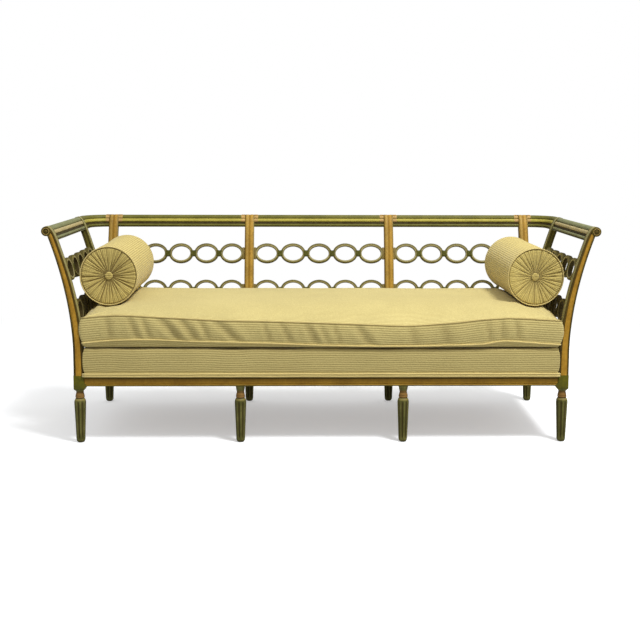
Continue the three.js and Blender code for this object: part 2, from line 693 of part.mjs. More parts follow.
// Deck with its welt along the bottom, full sides and a rounded top edge
function addDeck() {
  const front = -POST_HALF + DECK_SETBACK;
  const columnSteps = 8;
  const rowSteps = 8;
  const deck = softBox({
    half: SOFT_HALF,
    front,
    back: SOFT_BACK,
    corner: DECK_CORNER,
    draw: DECK_DRAW,
    columns: eased(-SOFT_HALF, SOFT_HALF, columnSteps),
    rows: eased(front, SOFT_BACK, rowSteps),
    levelShares: [[0, 0.2], [0.07, 0], [0.13, 0.3], [0.4, 0], [0.8, 0.05], [0.93, 0.35], [1, 1]],
    bottom: DECK_BOTTOM,
    height: DECK_HEIGHT,
    topAt: () => DECK_TOP,
  });
  addMesh('deck', deck, CORDED_CLOTH);
}

// Height of the cushion's crowned top before the bolsters press into it
function crownAt(x, y) {
  const fill = (distance, softness) => 1 - Math.exp(-Math.max(0, distance) / softness);
  const ends = fill(SOFT_HALF - Math.abs(x), CROWN_END_SOFTNESS);
  const front = fill(y - CUSHION_FRONT, CROWN_FRONT_SOFTNESS);
  const back = fill(SOFT_BACK - y, CROWN_BACK_SOFTNESS);
  return CUSHION_SEAM + CROWN_RISE * ends * front * back;
}

// Innermost face of the arm galleries at a height, knots included
function armGalleryFace(z, tier) {
  const lean = leanAt(tier);
  const middle = armFaceAt(BOLSTER_FRONT) + flareAt(tier) - thickAt(tier) / 2;
  const centre = middle + (z - tier) * Math.tan(lean);
  return centre - (GALLERY_DEPTH / 2 + KNOT_PROUD) / Math.cos(lean);
}

// Axis of a bolster: it lies on the cushion's crown and against the arm's galleries
function bolsterAxis() {
  const lift = BOLSTER_RADIUS - BOLSTER_SINK;
  const sampleSteps = 12;
  const passes = 4;
  const tierShares = eased(-1, 1, sampleSteps);
  let x = SOFT_HALF - BOLSTER_RADIUS;
  let heights = [];
  for (let pass = 0; pass < passes; pass += 1) {
    heights = [BOLSTER_FRONT, BOLSTER_REAR - CROWN_BACK_SOFTNESS].map((y) => crownAt(x, y) + lift);
    const limits = [LOWER_TIER, UPPER_TIER].flatMap((tier) => tierShares.flatMap((share) =>
      heights.map((height) => {
        const z = tier + (share * RING_HEIGHT) / 2;
        const aside = BOLSTER_RADIUS ** 2 - (z - height) ** 2;
        return aside > 0 ? armGalleryFace(z, tier) - Math.sqrt(aside) : Infinity;
      })));
    x = Math.min(...limits) - CLOTH_GAP;
  }
  return { x, frontHeight: heights[0], rearHeight: heights[1] };
}

const axis = bolsterAxis();
const bolsterTilt = Math.atan2(axis.rearHeight - axis.frontHeight, BOLSTER_LENGTH);

// Underside of the bolsters over a point, or no limit where they don't lie over it
function bolsterUnderside(x, y) {
  const aside = Math.abs(Math.abs(x) - axis.x);
  const isAlong = y > BOLSTER_FRONT - BOLSTER_RADIUS && y < BOLSTER_REAR + BOLSTER_SINK;
  if (aside >= BOLSTER_RADIUS || !isAlong) {
    return Infinity;
  }
  const centre = axis.frontHeight + (y - BOLSTER_FRONT) * Math.tan(bolsterTilt);
  return centre - Math.sqrt(BOLSTER_RADIUS ** 2 - aside ** 2) / Math.cos(bolsterTilt);
}

function cushionTop(x, y) {
  return Math.min(crownAt(x, y), bolsterUnderside(x, y) - CLOTH_GAP);
}

// Boxed cushion: drawn in at both welts, full between them, with a crown that the bolsters dent
function addCushion() {
  const nestSteps = 6;
  const nestReach = Math.min(SOFT_HALF - axis.x - CLOTH_GAP, BOLSTER_RADIUS);
  const nestShares = Array.from({ length: nestSteps + 1 }, (_, i) => (2 * i) / nestSteps - 1);
  const nest = nestShares.map((share) => axis.x + nestReach * share);
  const middle = nest[0] - nestReach / nestSteps;
  const spreadSteps = 10;
  const rowSteps = 12;
  const spread = eased(-middle, middle, spreadSteps);
  const mirrored = nest.map((x) => -x).reverse();
  const cushion = softBox({
    half: SOFT_HALF,
    front: CUSHION_FRONT,
    back: SOFT_BACK,
    corner: CUSHION_CORNER,
    draw: CUSHION_DRAW,
    columns: [-SOFT_HALF, ...mirrored, ...spread, ...nest, SOFT_HALF],
    rows: eased(CUSHION_FRONT, SOFT_BACK, rowSteps),
    levelShares: [[0, 1], [0.1, 0.33], [0.3, 0.05], [0.6, 0], [0.88, 0.12], [1, 0.4]],
    bottom: CUSHION_BOTTOM,
    height: CUSHION_BAND,
    topAt: cushionTop,
  });
  addMesh('seat_cushion', cushion, CORDED_CLOTH);
}

// Bolster about its own axis, front end at zero: pleated ends drawn in to a flat seat for the button
function bolsterGeometry() {
  const points = 2 * BOLSTER_PLEATS;
  const seat = BUTTON_RADIUS + SEAT_GAP;
  const pleatShares = [[0.25, 0.4, 1], [0, 0.8, 0.5], [0, 0.965, 0], [0.5, 1, 0]];
  const pleated = pleatShares.map(([dish, reach, pleat]) => (
    [dish * END_DISH, reach * BOLSTER_RADIUS, pleat * PLEAT_DEPTH]));
  const end = [[END_DISH, seat / 2, 0], [END_DISH, seat, 0], ...pleated];
  const far = end.map(([depth, radius, pleat]) => [BOLSTER_LENGTH - depth, radius, -pleat]).reverse();
  const rings = [...end, [BOLSTER_LENGTH / 2, BOLSTER_RADIUS, 0], ...far];
  const bodies = rings.map(([depth, radius, pleat]) =>
    Array.from({ length: points }, (_, i) => {
      const angle = (i / points) * 2 * Math.PI;
      const y = depth + (i % 2 === 0 ? 0 : pleat);
      return new THREE.Vector3(radius * Math.cos(angle), y, radius * Math.sin(angle));
    }));
  const flat = bodies[0].map((p) => new THREE.Vector2(p.x, p.z));
  return loft(bodies, flat);
}

// Covered button: flat back, turned edge and domed face towards -Y
function buttonGeometry() {
  const profileShares = [[0, 0], [0.9, 0], [1, 0.35], [0.85, 0.75], [0.45, 0.95], [0, 1]];
  const profile = profileShares.map(([r, h]) => new THREE.Vector2(r * BUTTON_RADIUS, h * BUTTON_HEIGHT));
  const turns = 12;
  return new THREE.LatheGeometry(profile, turns);
}

function addBolsters() {
  const geometry = bolsterGeometry();
  const button = buttonGeometry();
  for (const { name, sign } of sides) {
    const bolster = new THREE.Group();
    bolster.position.set(sign * axis.x, BOLSTER_FRONT, axis.frontHeight);
    bolster.rotation.x = bolsterTilt;
    recamier.add(bolster);
    addMesh(`bolster_${name}`, geometry, CORDED_CLOTH, bolster);
    const front = addMesh(`bolster_${name}_front_button`, button, CORDED_CLOTH, bolster);
    front.rotation.x = Math.PI;
    front.position.y = END_DISH - SEAT_GAP;
    const rear = addMesh(`bolster_${name}_rear_button`, button, CORDED_CLOTH, bolster);
    rear.position.y = BOLSTER_LENGTH - END_DISH + SEAT_GAP;
  }
}

// Origin on the floor, under the middle of the whole settee
function centreOnFloor() {
  const box = new THREE.Box3().setFromObject(recamier);
  recamier.position.y = -(box.min.y + box.max.y) / 2;
}

addSeatRails();
addSeatSupport();
addPosts();
addCornerBlocks();
addRosettes();
addCrestRails();
addGalleries();
addLegs();
addDeck();
addCushion();
addBolsters();
centreOnFloor();

export default recamier;
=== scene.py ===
from math import asin, atan, atan2, hypot, pi, radians, tan

import bmesh
import bpy
import numpy as np
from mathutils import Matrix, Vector
from numpy import (append, arange, array, broadcast_to, clip, concatenate, cos, exp, interp, linspace, maximum,
                   minimum, repeat, sin, sqrt, tile, vstack, where, zeros)


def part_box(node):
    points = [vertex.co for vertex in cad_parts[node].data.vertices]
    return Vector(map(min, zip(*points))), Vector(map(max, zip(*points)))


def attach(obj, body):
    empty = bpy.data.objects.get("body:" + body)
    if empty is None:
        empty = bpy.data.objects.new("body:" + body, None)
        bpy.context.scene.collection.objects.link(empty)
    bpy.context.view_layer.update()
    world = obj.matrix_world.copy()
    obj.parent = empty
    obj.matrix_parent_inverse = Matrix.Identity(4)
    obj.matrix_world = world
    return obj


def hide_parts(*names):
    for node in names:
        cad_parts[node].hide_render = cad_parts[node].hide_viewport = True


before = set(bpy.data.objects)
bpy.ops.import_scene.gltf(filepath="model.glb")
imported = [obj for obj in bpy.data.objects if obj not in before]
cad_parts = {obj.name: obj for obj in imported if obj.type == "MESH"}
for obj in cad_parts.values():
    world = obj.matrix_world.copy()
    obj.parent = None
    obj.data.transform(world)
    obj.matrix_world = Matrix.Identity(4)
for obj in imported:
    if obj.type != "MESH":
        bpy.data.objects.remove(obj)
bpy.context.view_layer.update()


def middle_of(name, axis):
    low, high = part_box(name)
    return (low[axis] + high[axis]) / 2


# Places read from the frame. All lengths are in metres, and y counts from the front legs
FRONT_Y = middle_of("front_leg_1", 1)
LEG_X = -middle_of("front_leg_1", 0)
INNER_X = -middle_of("front_leg_2", 0)
LEG_DEPTH = middle_of("back_leg_1", 1) - FRONT_Y
REAR_LEG_X = -middle_of("back_leg_1", 0)
BACK_POST_X = -middle_of("back_post_1", 0)
REAR_ARM_Y = middle_of("rear_arm_post_left", 1) - FRONT_Y
RAIL_BOTTOM, RAIL_TOP = (end.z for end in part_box("back_rail"))
DECK_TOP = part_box("deck")[1].z
CUSHION_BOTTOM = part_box("seat_cushion")[0].z
CUSHION_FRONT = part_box("seat_cushion")[0].y - FRONT_Y

# Sizes that the posts, rails and rings share
POST_WIDTH = 0.040
POST_HALF = POST_WIDTH / 2
POST_THICK = 0.0375
POST_SLIM = 0.027
SLIM_HEIGHT = 0.700
FLARE_START = 0.340
FLARE_TOP = 0.759
FLARE_REACH = 0.080
FLARE_POWER = 1.85
SHOULDER = 0.7575
HEAD_REACH = 0.088
HEAD_HEIGHT = 0.7885
ROLL_RADIUS = 0.018
BLOCK_BOTTOM = 0.2025
BLOCK_TOP = 0.2561
BLOCK_STEP = 0.001
BLOCK_ROUND = 0.003
GAP = 0.0003
CLOTH_GAP = 0.0008
ARM_FACE = LEG_X + POST_THICK / 2
BACK_FACE = LEG_DEPTH + POST_THICK / 2
BLOCK_INNER_X = ARM_FACE - POST_THICK - BLOCK_STEP
BLOCK_INNER_Y = BACK_FACE - POST_THICK - BLOCK_STEP
SPLAY = (REAR_LEG_X - LEG_X) / LEG_DEPTH
BACK_LINES = (-BACK_POST_X, -INNER_X, INNER_X, BACK_POST_X)
SIDES = (("left", -1), ("right", 1))


def flare_at(z):
    """How far a post's outer face has curved out."""
    return FLARE_REACH * (maximum(0, z - FLARE_START) / (FLARE_TOP - FLARE_START)) ** FLARE_POWER


def thick_at(z):
    """Thickness of a post, slimmer above."""
    return POST_THICK - (POST_THICK - POST_SLIM) * clip((z - BLOCK_TOP) / (SLIM_HEIGHT - BLOCK_TOP), 0, 1)


def lean_at(z):
    """Angle of a post's outer face from upright."""
    height = FLARE_TOP - FLARE_START
    return atan(FLARE_REACH * FLARE_POWER * (max(0, z - FLARE_START) / height) ** (FLARE_POWER - 1) / height)


def arm_x(y):
    """Outer face of the arm's foot line, which spreads to the rear."""
    return ARM_FACE + SPLAY * y


def smooth(low, high, value):
    """Eased step from 0 at low to 1 at high."""
    t = clip((value - low) / (high - low), 0, 1)
    return t * t * (3 - 2 * t)


def join(*parts):
    """Arrays side by side along a new last axis, with single values spread to fit."""
    return np.stack(np.broadcast_arrays(*parts), -1)


def unit(rows):
    return rows / np.linalg.norm(rows, axis=-1, keepdims=True)


def around(count):
    return arange(count) / count * 2 * pi


# ---------------------------------------------------------------- meshes


def mesh_piece(name, points, faces, material, sharp=0, **marks):
    """Closed mesh. marks has named values of each FACE, CORNER or POINT. Edges over sharp degrees are hard."""
    mesh = bpy.data.meshes.new(name)
    mesh.from_pydata((points + array([0, FRONT_Y, 0])).tolist(), [], faces)
    for domain, layers in marks.items():
        for key, values in layers.items():
            mesh.attributes.new(key, "FLOAT", domain).data.foreach_set("value", np.asarray(values, np.float32))
    work = bmesh.new()
    work.from_mesh(mesh)
    bmesh.ops.recalc_face_normals(work, faces=work.faces)
    work.to_mesh(mesh)
    work.free()
    mesh.shade_smooth()
    if sharp:
        mesh.set_sharp_from_angle(angle=radians(sharp))
    mesh.materials.append(material)
    piece = bpy.data.objects.new(name, mesh)
    bpy.context.scene.collection.objects.link(piece)
    return piece


def finish_piece(piece, body, slot, *nodes):
    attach(piece, body)
    if nodes:
        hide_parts(*nodes)


class Parts:
    """Several closed shells that make one piece of the frame, with a tone and a darkening for each face: glaze in
    hollows, and painted shade.
    """

    def __init__(self):
        self.points, self.faces, self.tone, self.glaze_and_shade = [], [], [], []
        self.count = 0

    def add(self, points, faces, tone=0.0, glaze_and_shade=0.0):
        self.points.append(points)
        self.faces += [[v + self.count for v in f] for f in faces]
        self.tone.append(broadcast_to(tone, len(faces)))
        self.glaze_and_shade.append(broadcast_to(glaze_and_shade, len(faces)))
        self.count += len(points)

    def finish(self, name, material, slot, *nodes, sharp=38):
        looks = {"tone": concatenate(self.tone), "glaze_and_shade": concatenate(self.glaze_and_shade)}
        piece = mesh_piece(name, vstack(self.points), self.faces, material, sharp, FACE=looks)
        finish_piece(piece, "frame", slot, *nodes)


def ring_faces(rings, count, closed=False):
    """Faces between rings of points laid one after the other, and a face on each end unless the rings are closed."""
    faces = []
    for r in range(rings if closed else rings - 1):
        low, high = r * count, (r + 1) % rings * count
        faces += [(low + i, low + (i + 1) % count, high + (i + 1) % count, high + i) for i in range(count)]
    if not closed:
        faces += [tuple(range(count))[::-1], tuple(range((rings - 1) * count, rings * count))]
    return faces


def ring_corners(rings, count):
    """Ring and step round it of each corner of the faces above, both counted on past the join."""
    r, i = np.divmod(arange(rings * count), count)
    return (r[:, None] + [0, 0, 1, 1]).ravel(), (i[:, None] + [0, 1, 1, 0]).ravel()


def grid_faces(index):
    return join(index[:-1, :-1], index[:-1, 1:], index[1:, 1:], index[1:, :-1]).reshape(-1, 4)


def grid_border(rows, columns):
    """Row and column of each point round the edge of a grid with that many faces each way."""
    i, j = range(columns), range(rows)
    return array([(0, k) for k in i] + [(k, columns) for k in j] + [(rows, columns - k) for k in i]
                 + [(rows - k, 0) for k in j]).T


def sweep(parts, section, stations, tone, glaze_and_shade, end_tone=0.0, end_glaze_and_shade=0.9):
    """Section in (out, z), carried along stations of (x, y, outward x, outward y, shrink)."""
    middle = section.mean(0)
    rings = []
    for x, y, ox, oy, shrink in stations:
        out, z = (middle + (section - middle) * (1 - shrink)).T
        rings.append(join(x + ox * out, y + oy * out, z))
    shape = (len(rings) - 1, len(section))
    parts.add(vstack(rings), ring_faces(len(rings), len(section)),
              append(broadcast_to(tone, shape), [end_tone] * 2), append(broadcast_to(glaze_and_shade, shape), [end_glaze_and_shade] * 2))


def turned(angles, rows):
    """Rings of points round the z axis, from rows of (radius, height)."""
    return vstack([join(r * cos(angles), r * sin(angles), h) for r, h in rows])


def tube(path, radius, sides):
    """Points and faces of a round cord along a closed path."""
    ahead = unit(np.roll(path, -1, 0) - np.roll(path, 1, 0))
    side = unit(np.cross(ahead, [0, 0, 1] if abs(ahead[:, 2]).max() < 0.9 else [0, 1, 0]))
    top = np.cross(side, ahead)
    angles = around(sides)[:, None]
    rings = path[:, None] + radius * (cos(angles) * side[:, None] + sin(angles) * top[:, None])
    return rings.reshape(-1, 3), ring_faces(len(path), sides, True)


# ---------------------------------------------------------------- materials


class Value:
    """Output of a shader node. Arithmetic with it adds Math nodes."""

    def __init__(self, socket):
        self.socket, self.tree = socket, socket.id_data

    def __add__(self, other):
        return maths("ADD", self, other)

    def __sub__(self, other):
        return maths("SUBTRACT", self, other)

    def __rsub__(self, other):
        return maths("SUBTRACT", other, self)

    def __mul__(self, other):
        return maths("MULTIPLY", self, other)

    def __truediv__(self, other):
        return maths("DIVIDE", self, other)

    def clamped(self):
        self.socket.node.use_clamp = True
        return self


def feed(made, inputs):
    for key, value in inputs.items():
        if isinstance(value, Value):
            value.tree.links.new(value.socket, made.inputs[key])
        else:
            made.inputs[key].default_value = value


def node(tree, kind, inputs={}, output=0, **settings):
    """First output, or another one, of a new node."""
    made = tree.nodes.new(kind)
    for key, value in settings.items():
        setattr(made, key, value)
    feed(made, inputs)
    return Value(made.outputs[output])


def maths(operation, *values):
    tree = next(v.tree for v in values if isinstance(v, Value))
    return node(tree, "ShaderNodeMath", dict(enumerate(values)), operation=operation)


def colour(red, green, blue):
    """Linear colour from one written in 0 to 255."""
    shares = [c / 255 for c in (red, green, blue)]
    return (*(c / 12.92 if c <= 0.04045 else ((c + 0.055) / 1.055) ** 2.4 for c in shares), 1)


def mix(share, first, second):
    """Blend of two colours, each a value, a linear colour or three numbers in 0 to 255."""
    first, second = (colour(*c) if isinstance(c, tuple) and len(c) == 3 else c for c in (first, second))
    return node(share.tree, "ShaderNodeMix", {0: share, 6: first, 7: second}, 2, data_type="RGBA")


def noise(place, scale, low=None, high=None, detail=4.0, rough=0.55):
    """Noise, stretched so that low becomes 0 and high becomes 1."""
    inputs = {"Vector": place, "Scale": scale, "Detail": detail, "Roughness": rough}
    made = node(place.tree, "ShaderNodeTexNoise", inputs)
    if low is None:
        return made
    return node(place.tree, "ShaderNodeMapRange", {"Value": made, "From Min": low, "From Max": high})


def stretched(place, *scale):
    return node(place.tree, "ShaderNodeMapping", {"Vector": place, "Scale": scale})


def attribute(tree, name):
    return node(tree, "ShaderNodeAttribute", output="Fac", attribute_name=name, attribute_type="GEOMETRY")


def new_material(name):
    material = bpy.data.materials.new(name)
    material.use_nodes = True
    tree = material.node_tree
    return material, tree, tree.nodes["Principled BSDF"], node(tree, "ShaderNodeTexCoord", output="Object")


def dress(shader, base, rough, height, strength, distance, **others):
    bump = node(base.tree, "ShaderNodeBump", {"Strength": strength, "Distance": distance, "Height": height})
    feed(shader, {"Base Color": base, "Roughness": rough, "Normal": bump, **others})


def aged_paint(name, flecks, dark, light, bare_dark, bare_light, pale=(172, 160, 112)):
    """Paint: the first pair where tone is 0, the second where it is 1, pale where it is 2. glaze_and_shade darkens
    it, as glaze in hollows and as painted shade.
    """
    material, tree, shader, place = new_material(f"aged_{name}_paint")
    patch = noise(place, 14.0, 0.35, 0.68)
    fine = noise(place, 95.0, 0.36, 0.66, 5.0, 0.65)
    speck = noise(place, 330.0, 0.60, 0.72, 3.0, 0.6)
    streak = noise(stretched(place, 1.0, 1.0, 0.12), 260.0, 0.3, 0.7, 3.0, 0.6)
    wear = patch * 0.55 + fine * 0.45
    tone = attribute(tree, "tone")
    coloured = mix(tone, mix(wear, dark, light), mix(wear * 0.7 + streak * 0.3, bare_dark, bare_light))
    worn_pale = mix(wear, tuple(c * 0.84 for c in pale), tuple(c * 1.04 for c in pale))
    specked = mix(speck * flecks, mix((tone - 1.0).clamped(), coloured, worn_pale), (78, 58, 26))
    # Darkening towards dark brown: glaze in hollows, and painted shade where the pieces set it
    grime_and_shade = (attribute(tree, "glaze_and_shade") * (fine * 0.2 + 0.84)).clamped()
    dress(shader, mix(grime_and_shade, specked, (52, 40, 8)), fine * 0.18 + grime_and_shade * 0.3 + 0.42, streak * 0.6 + speck * -0.8,
          0.35, 0.0004, **{"Specular IOR Level": 0.2})
    return material


# The arm crest paint is a paler, greyer copy of the crest paint: painted sheen over the arm rails
paint, crest_paint, arm_crest_sheen_paint, ring_paint, leg_paint, block_paint = (aged_paint(*values) for values in (
    ("ochre", 0.3, (64, 60, 6), (102, 94, 24), (144, 103, 22), (200, 154, 52), (158, 152, 98)),
    ("crest", 0.2, (88, 86, 26), (117, 112, 48), (150, 140, 54), (186, 174, 80), (198, 162, 98)),
    ("arm_crest", 0.2, (112, 114, 74), (138, 140, 96), (162, 146, 98), (190, 174, 122)),
    ("ring", 0.3, (62, 64, 8), (94, 94, 26), (124, 104, 54), (156, 134, 84), (176, 172, 124)),
    ("leg", 0.3, (70, 70, 20), (120, 116, 60), (118, 84, 36), (152, 116, 60), (134, 132, 72)),
    ("block", 0.8, (64, 64, 2), (102, 97, 10), (142, 98, 34), (190, 146, 64), (120, 118, 50))))

THREAD = 0.00042


def corded(name, base, dark, pitch, depth=0.0011):
    """Cloth with rounded cords. across counts metres over the cords and along runs with them."""
    material, tree, shader, place = new_material(name)
    turns = attribute(tree, "across") / pitch + (noise(place, 7.0) - 0.5) * 0.35
    rib = maths("POWER", maths("ABSOLUTE", maths("SINE", turns * pi)), 0.55)
    knit = (maths("SINE", attribute(tree, "along") / THREAD) * 0.5 + 0.5) * rib
    slub = noise(place, 210.0, 0.32, 0.7, 3.0, 0.6)
    base = colour(*base)
    lit = mix(noise(place, 5.0, 0.35, 0.65, 3.0), base, (*(min(1, c * 1.09) for c in base[:3]), 1))
    woven = mix((1.0 - slub) * 0.30, lit, dark)
    # Painted shade darkens the valleys between the cords
    cord_valley_shaded = mix(((1.0 - rib) * 0.78).clamped(), woven, dark)
    # crease_shade paints shade into folds, pleats and seams, towards a dark brown
    folded = mix((attribute(tree, "crease_shade") * 0.85).clamped(), cord_valley_shaded, (96, 72, 26))
    dress(shader, folded, 0.92, rib + (knit + slub) * 0.16, 0.75, depth,
          **{"Specular IOR Level": 0.25, "Sheen Weight": 0.15, "Sheen Roughness": 0.5})
    return material


CORD_PITCH = 0.0085
WELT_PITCH = 0.0034
cloth = corded("corded_cloth", (213, 199, 134), (138, 112, 48), 0.0084, 0.0013)
bolster_cloth = corded("corded_bolster_cloth", (217, 199, 122), (132, 102, 38), 0.0082)
welt_cloth = corded("welt_cloth", (214, 196, 130), (170, 144, 80), WELT_PITCH, 0.0004)


def raw_wood():
    material, _, shader, place = new_material("raw_beech")
    grain = noise(stretched(place, 0.08, 1.0, 1.0), 90.0, 0.35, 0.65, 6.0, 0.6)
    stain = noise(place, 4.0, 0.3, 0.7)
    wood = mix(grain, (126, 94, 58), (172, 138, 94))
    dress(shader, mix(stain * 0.35, wood, (110, 84, 52)), grain * 0.2 + 0.62, grain, 0.4, 0.0004)
    return material


# ---------------------------------------------------------------- posts

SHOULDER_STEPS = 10
HEIGHT_STEPS = 26
SEAT_SIDE_POINTS = HEIGHT_STEPS + 1 + SHOULDER_STEPS


def bezier(a, b, c, t):
    return (1 - t) ** 2 * a + 2 * t * (1 - t) * b + t ** 2 * c


def shoulder_curve(inset):
    """Start, bend and end of the curve over a post's shoulder, in (out, z)."""
    start = array([flare_at(SHOULDER) - thick_at(SHOULDER) + inset, SHOULDER])
    end = array([HEAD_REACH, HEAD_HEIGHT + ROLL_RADIUS - inset])
    return start, array([start[0] + tan(lean_at(SHOULDER)) * (end[1] - start[1]), end[1]]), end


def on_roll(radius, angles):
    return join(HEAD_REACH + radius * cos(angles), HEAD_HEIGHT + radius * sin(angles))


def post_outline(foot):
    """Inner edge up, over the shoulder and round the roll, then down the outer edge."""
    heights = append(foot, linspace(max(foot + 0.02, 0.30), SHOULDER, HEIGHT_STEPS))
    inner = join(flare_at(heights) - thick_at(heights), heights)
    curve = bezier(*shoulder_curve(0), linspace(0, 1, SHOULDER_STEPS + 1)[1:, None])
    neck = HEAD_HEIGHT - ROLL_RADIUS
    end = atan2(-ROLL_RADIUS, flare_at(neck) - HEAD_REACH)
    outer = join(flare_at(heights), heights)[::-1]
    return vstack([inner, curve, on_roll(ROLL_RADIUS, linspace(pi / 2, end, 26)[1:]), outer])


def inset_outline(points, distance, foot):
    """Outline drawn in by a distance, its foot kept level."""
    before, after = unit(points - np.roll(points, 1, 0)), unit(np.roll(points, -1, 0) - points)
    normal = join(before[:, 1] + after[:, 1], -before[:, 0] - after[:, 0])
    length = np.linalg.norm(normal, axis=1)[:, None]
    normal = normal / length * minimum(1.25, 2 / length)
    moved = points + normal * distance
    low = points[:, 1] <= foot + 1e-6
    moved[low] = join(points[low, 0] + np.sign(normal[low, 0]) * distance, foot)
    return moved


# Inset from the outline and place across the post, in mm, with what is painted from each to the next
POST_PROFILE = (
    (8.8, -20.0, "face"), (8.3, -19.8, "groove"), (7.7, -18.9, "groove"), (6.9, -18.4, "line"), (6.0, -18.7, "line"),
    (5.3, -19.6, "bead"), (4.0, -20.0, "bead"), (2.0, -19.8, "bead"), (0.8, -19.1, "bead"), (0.2, -18.0, "bead"),
    (0.0, -16.6, "bead"), (0.2, -15.2, "groove"), (1.1, -14.7, "groove"), (1.15, -14.0, "groove"),
    (0.25, -13.4, "edge"), (0.05, -12.4, "edge"), (0.0, -3.0, "stripe"), (0.0, 0.0, "other"))
BACK_PROFILE = (
    (6.2, -20.0, "face"), (3.2, -20.0, "bead"), (0.7, -19.1, "bead"), (0.0, -17.6, "bead"), (0.1, -16.4, "groove"),
    (0.9, -15.8, "groove"), (0.9, -15.2, "edge"), (0.1, -14.2, "edge"), (0.0, -9.0, "edge"), (0.05, -5.6, "edge"),
    (0.4, -4.0, "stripe"), (0.9, -2.6, "stripe"), (0.9, -1.6, "stripe"))
# Tone and darkening (glaze_and_shade) of each painted band on the seat's side of a post and over its shoulder, then
# on its far side
ARM_LOOKS = {
    "face": ((1.0, 0.08), (1.0, 0.02)), "groove": ((0.8, 0.5), (0.9, 0.15)), "line": ((0.6, 0.85), (0.6, 0.3)),
    "bead": ((0.3, 0.82), (0.0, 0.75)), "edge": ((2.0, 0.1), (0.5, 0.2)), "stripe": ((1.9, 0.1), (0.5, 0.1)),
    "other": ((2.0, 0.15), (0.5, 0.1))}
REAR_ARM_LOOKS = {
    "face": ((0.0, 0.1), (0.0, 0.15)), "groove": ((0.0, 0.8), (0.0, 0.8)), "line": ((0.1, 0.5), (0.0, 0.5)),
    "bead": ((0.0, 0.4), (0.0, 0.5)), "edge": ((2.0, 0.05), (0.5, 0.1)), "stripe": ((1.9, 0.1), (0.5, 0.1)),
    "other": ((2.0, 0.1), (0.5, 0.1))}
BACK_LOOKS = {
    "face": ((0.6, 0.3), (0.3, 0.2)), "bead": ((1.5, 0.05), (0.5, 0.2)), "groove": ((0.8, 0.6), (0.4, 0.8)),
    "edge": ((1.15, 0.0), (0.9, 0.1)), "stripe": ((0.9, 0.35), (0.9, 0.2)), "bead_far": ((0.6, 0.45), (0.5, 0.2)),
    "groove_far": ((0.6, 0.7), (0.4, 0.8)), "edge_far": ((1.3, 0.0), (0.9, 0.1))}


def post(foot, x, y, out, looks):
    """A post that leans out along out, its moulded profile carried round the outline of its side."""
    shape = BACK_PROFILE if out[1] else POST_PROFILE
    profile, kinds = [(d, w) for d, w, _ in shape], [k for _, _, k in shape[:-1]]
    if out[1]:
        profile += [(d, -w) for d, w in profile[::-1]]
        kinds += ["stripe"] + [k + "_far" if k + "_far" in looks else k for k in kinds[::-1]]
    else:
        profile += [(d, -w) for d, w in profile[-2::-1]]
        kinds += ["other" if k in ("edge", "stripe") else k for k in kinds[::-1]]
    outline = post_outline(foot)
    count = len(outline)
    rings = []
    for inset, across in profile:
        reach, z = inset_outline(outline, inset / 1000, foot).T
        w = across / 1000
        rings.append(join(x + out[0] * reach - out[1] * w, y + out[1] * reach + out[0] * w, z))
    inner = arange(count) < SEAT_SIDE_POINTS
    tone, glaze_and_shade = (array([where(inner, looks[k][0][part], looks[k][1][part]) for k in kinds]) for part in (0, 1))
    # Lower down, the arm posts' ochre turns towards olive and darkens; on the left post painted shade also darkens
    # the far side's groove and line
    if looks is ARM_LOOKS:
        low = smooth(0.46, 0.40, outline[:, 1])
        tone *= 1 - 0.25 * low * (tone == 1.0)
        glaze_and_shade = clip(glaze_and_shade + 0.14 * low, 0, 1)
        if out[0] < 0:
            edge = array([~inner * (k in ("groove", "line")) for k in kinds])
            glaze_and_shade = clip(glaze_and_shade + 0.55 * edge * smooth(0.50, 0.42, outline[:, 1]), 0, 1)
    parts = Parts()
    ends = looks["face"][0]
    parts.add(vstack(rings), ring_faces(len(rings), count), append(tone, [ends[0]] * 2), append(glaze_and_shade, [ends[1]] * 2))
    return parts


def rounded_box(low, high, radius):
    """Points and faces of a box with rounded upright edges and softened rims."""
    low, high = array(low), array(high)
    half, mid = (high - low)[:2] / 2, (high + low)[:2] / 2
    turn = concatenate([linspace(0, pi / 2, 5) + quarter * pi / 2 for quarter in range(4)])
    corner = repeat([(1, 1), (-1, 1), (-1, -1), (1, -1)], 5, 0)
    rim = min(radius, 0.002)
    rings = []
    for end, way in ((low[2], 1), (high[2], -1)):
        for inset, rise in ((rim, 0), (rim * 0.3, rim * 0.3), (0, rim))[::way]:
            flat = mid + corner * (half - inset - radius) + radius * join(cos(turn), sin(turn))
            rings.append(join(*flat.T, end + way * rise))
    return vstack(rings), ring_faces(len(rings), len(turn))


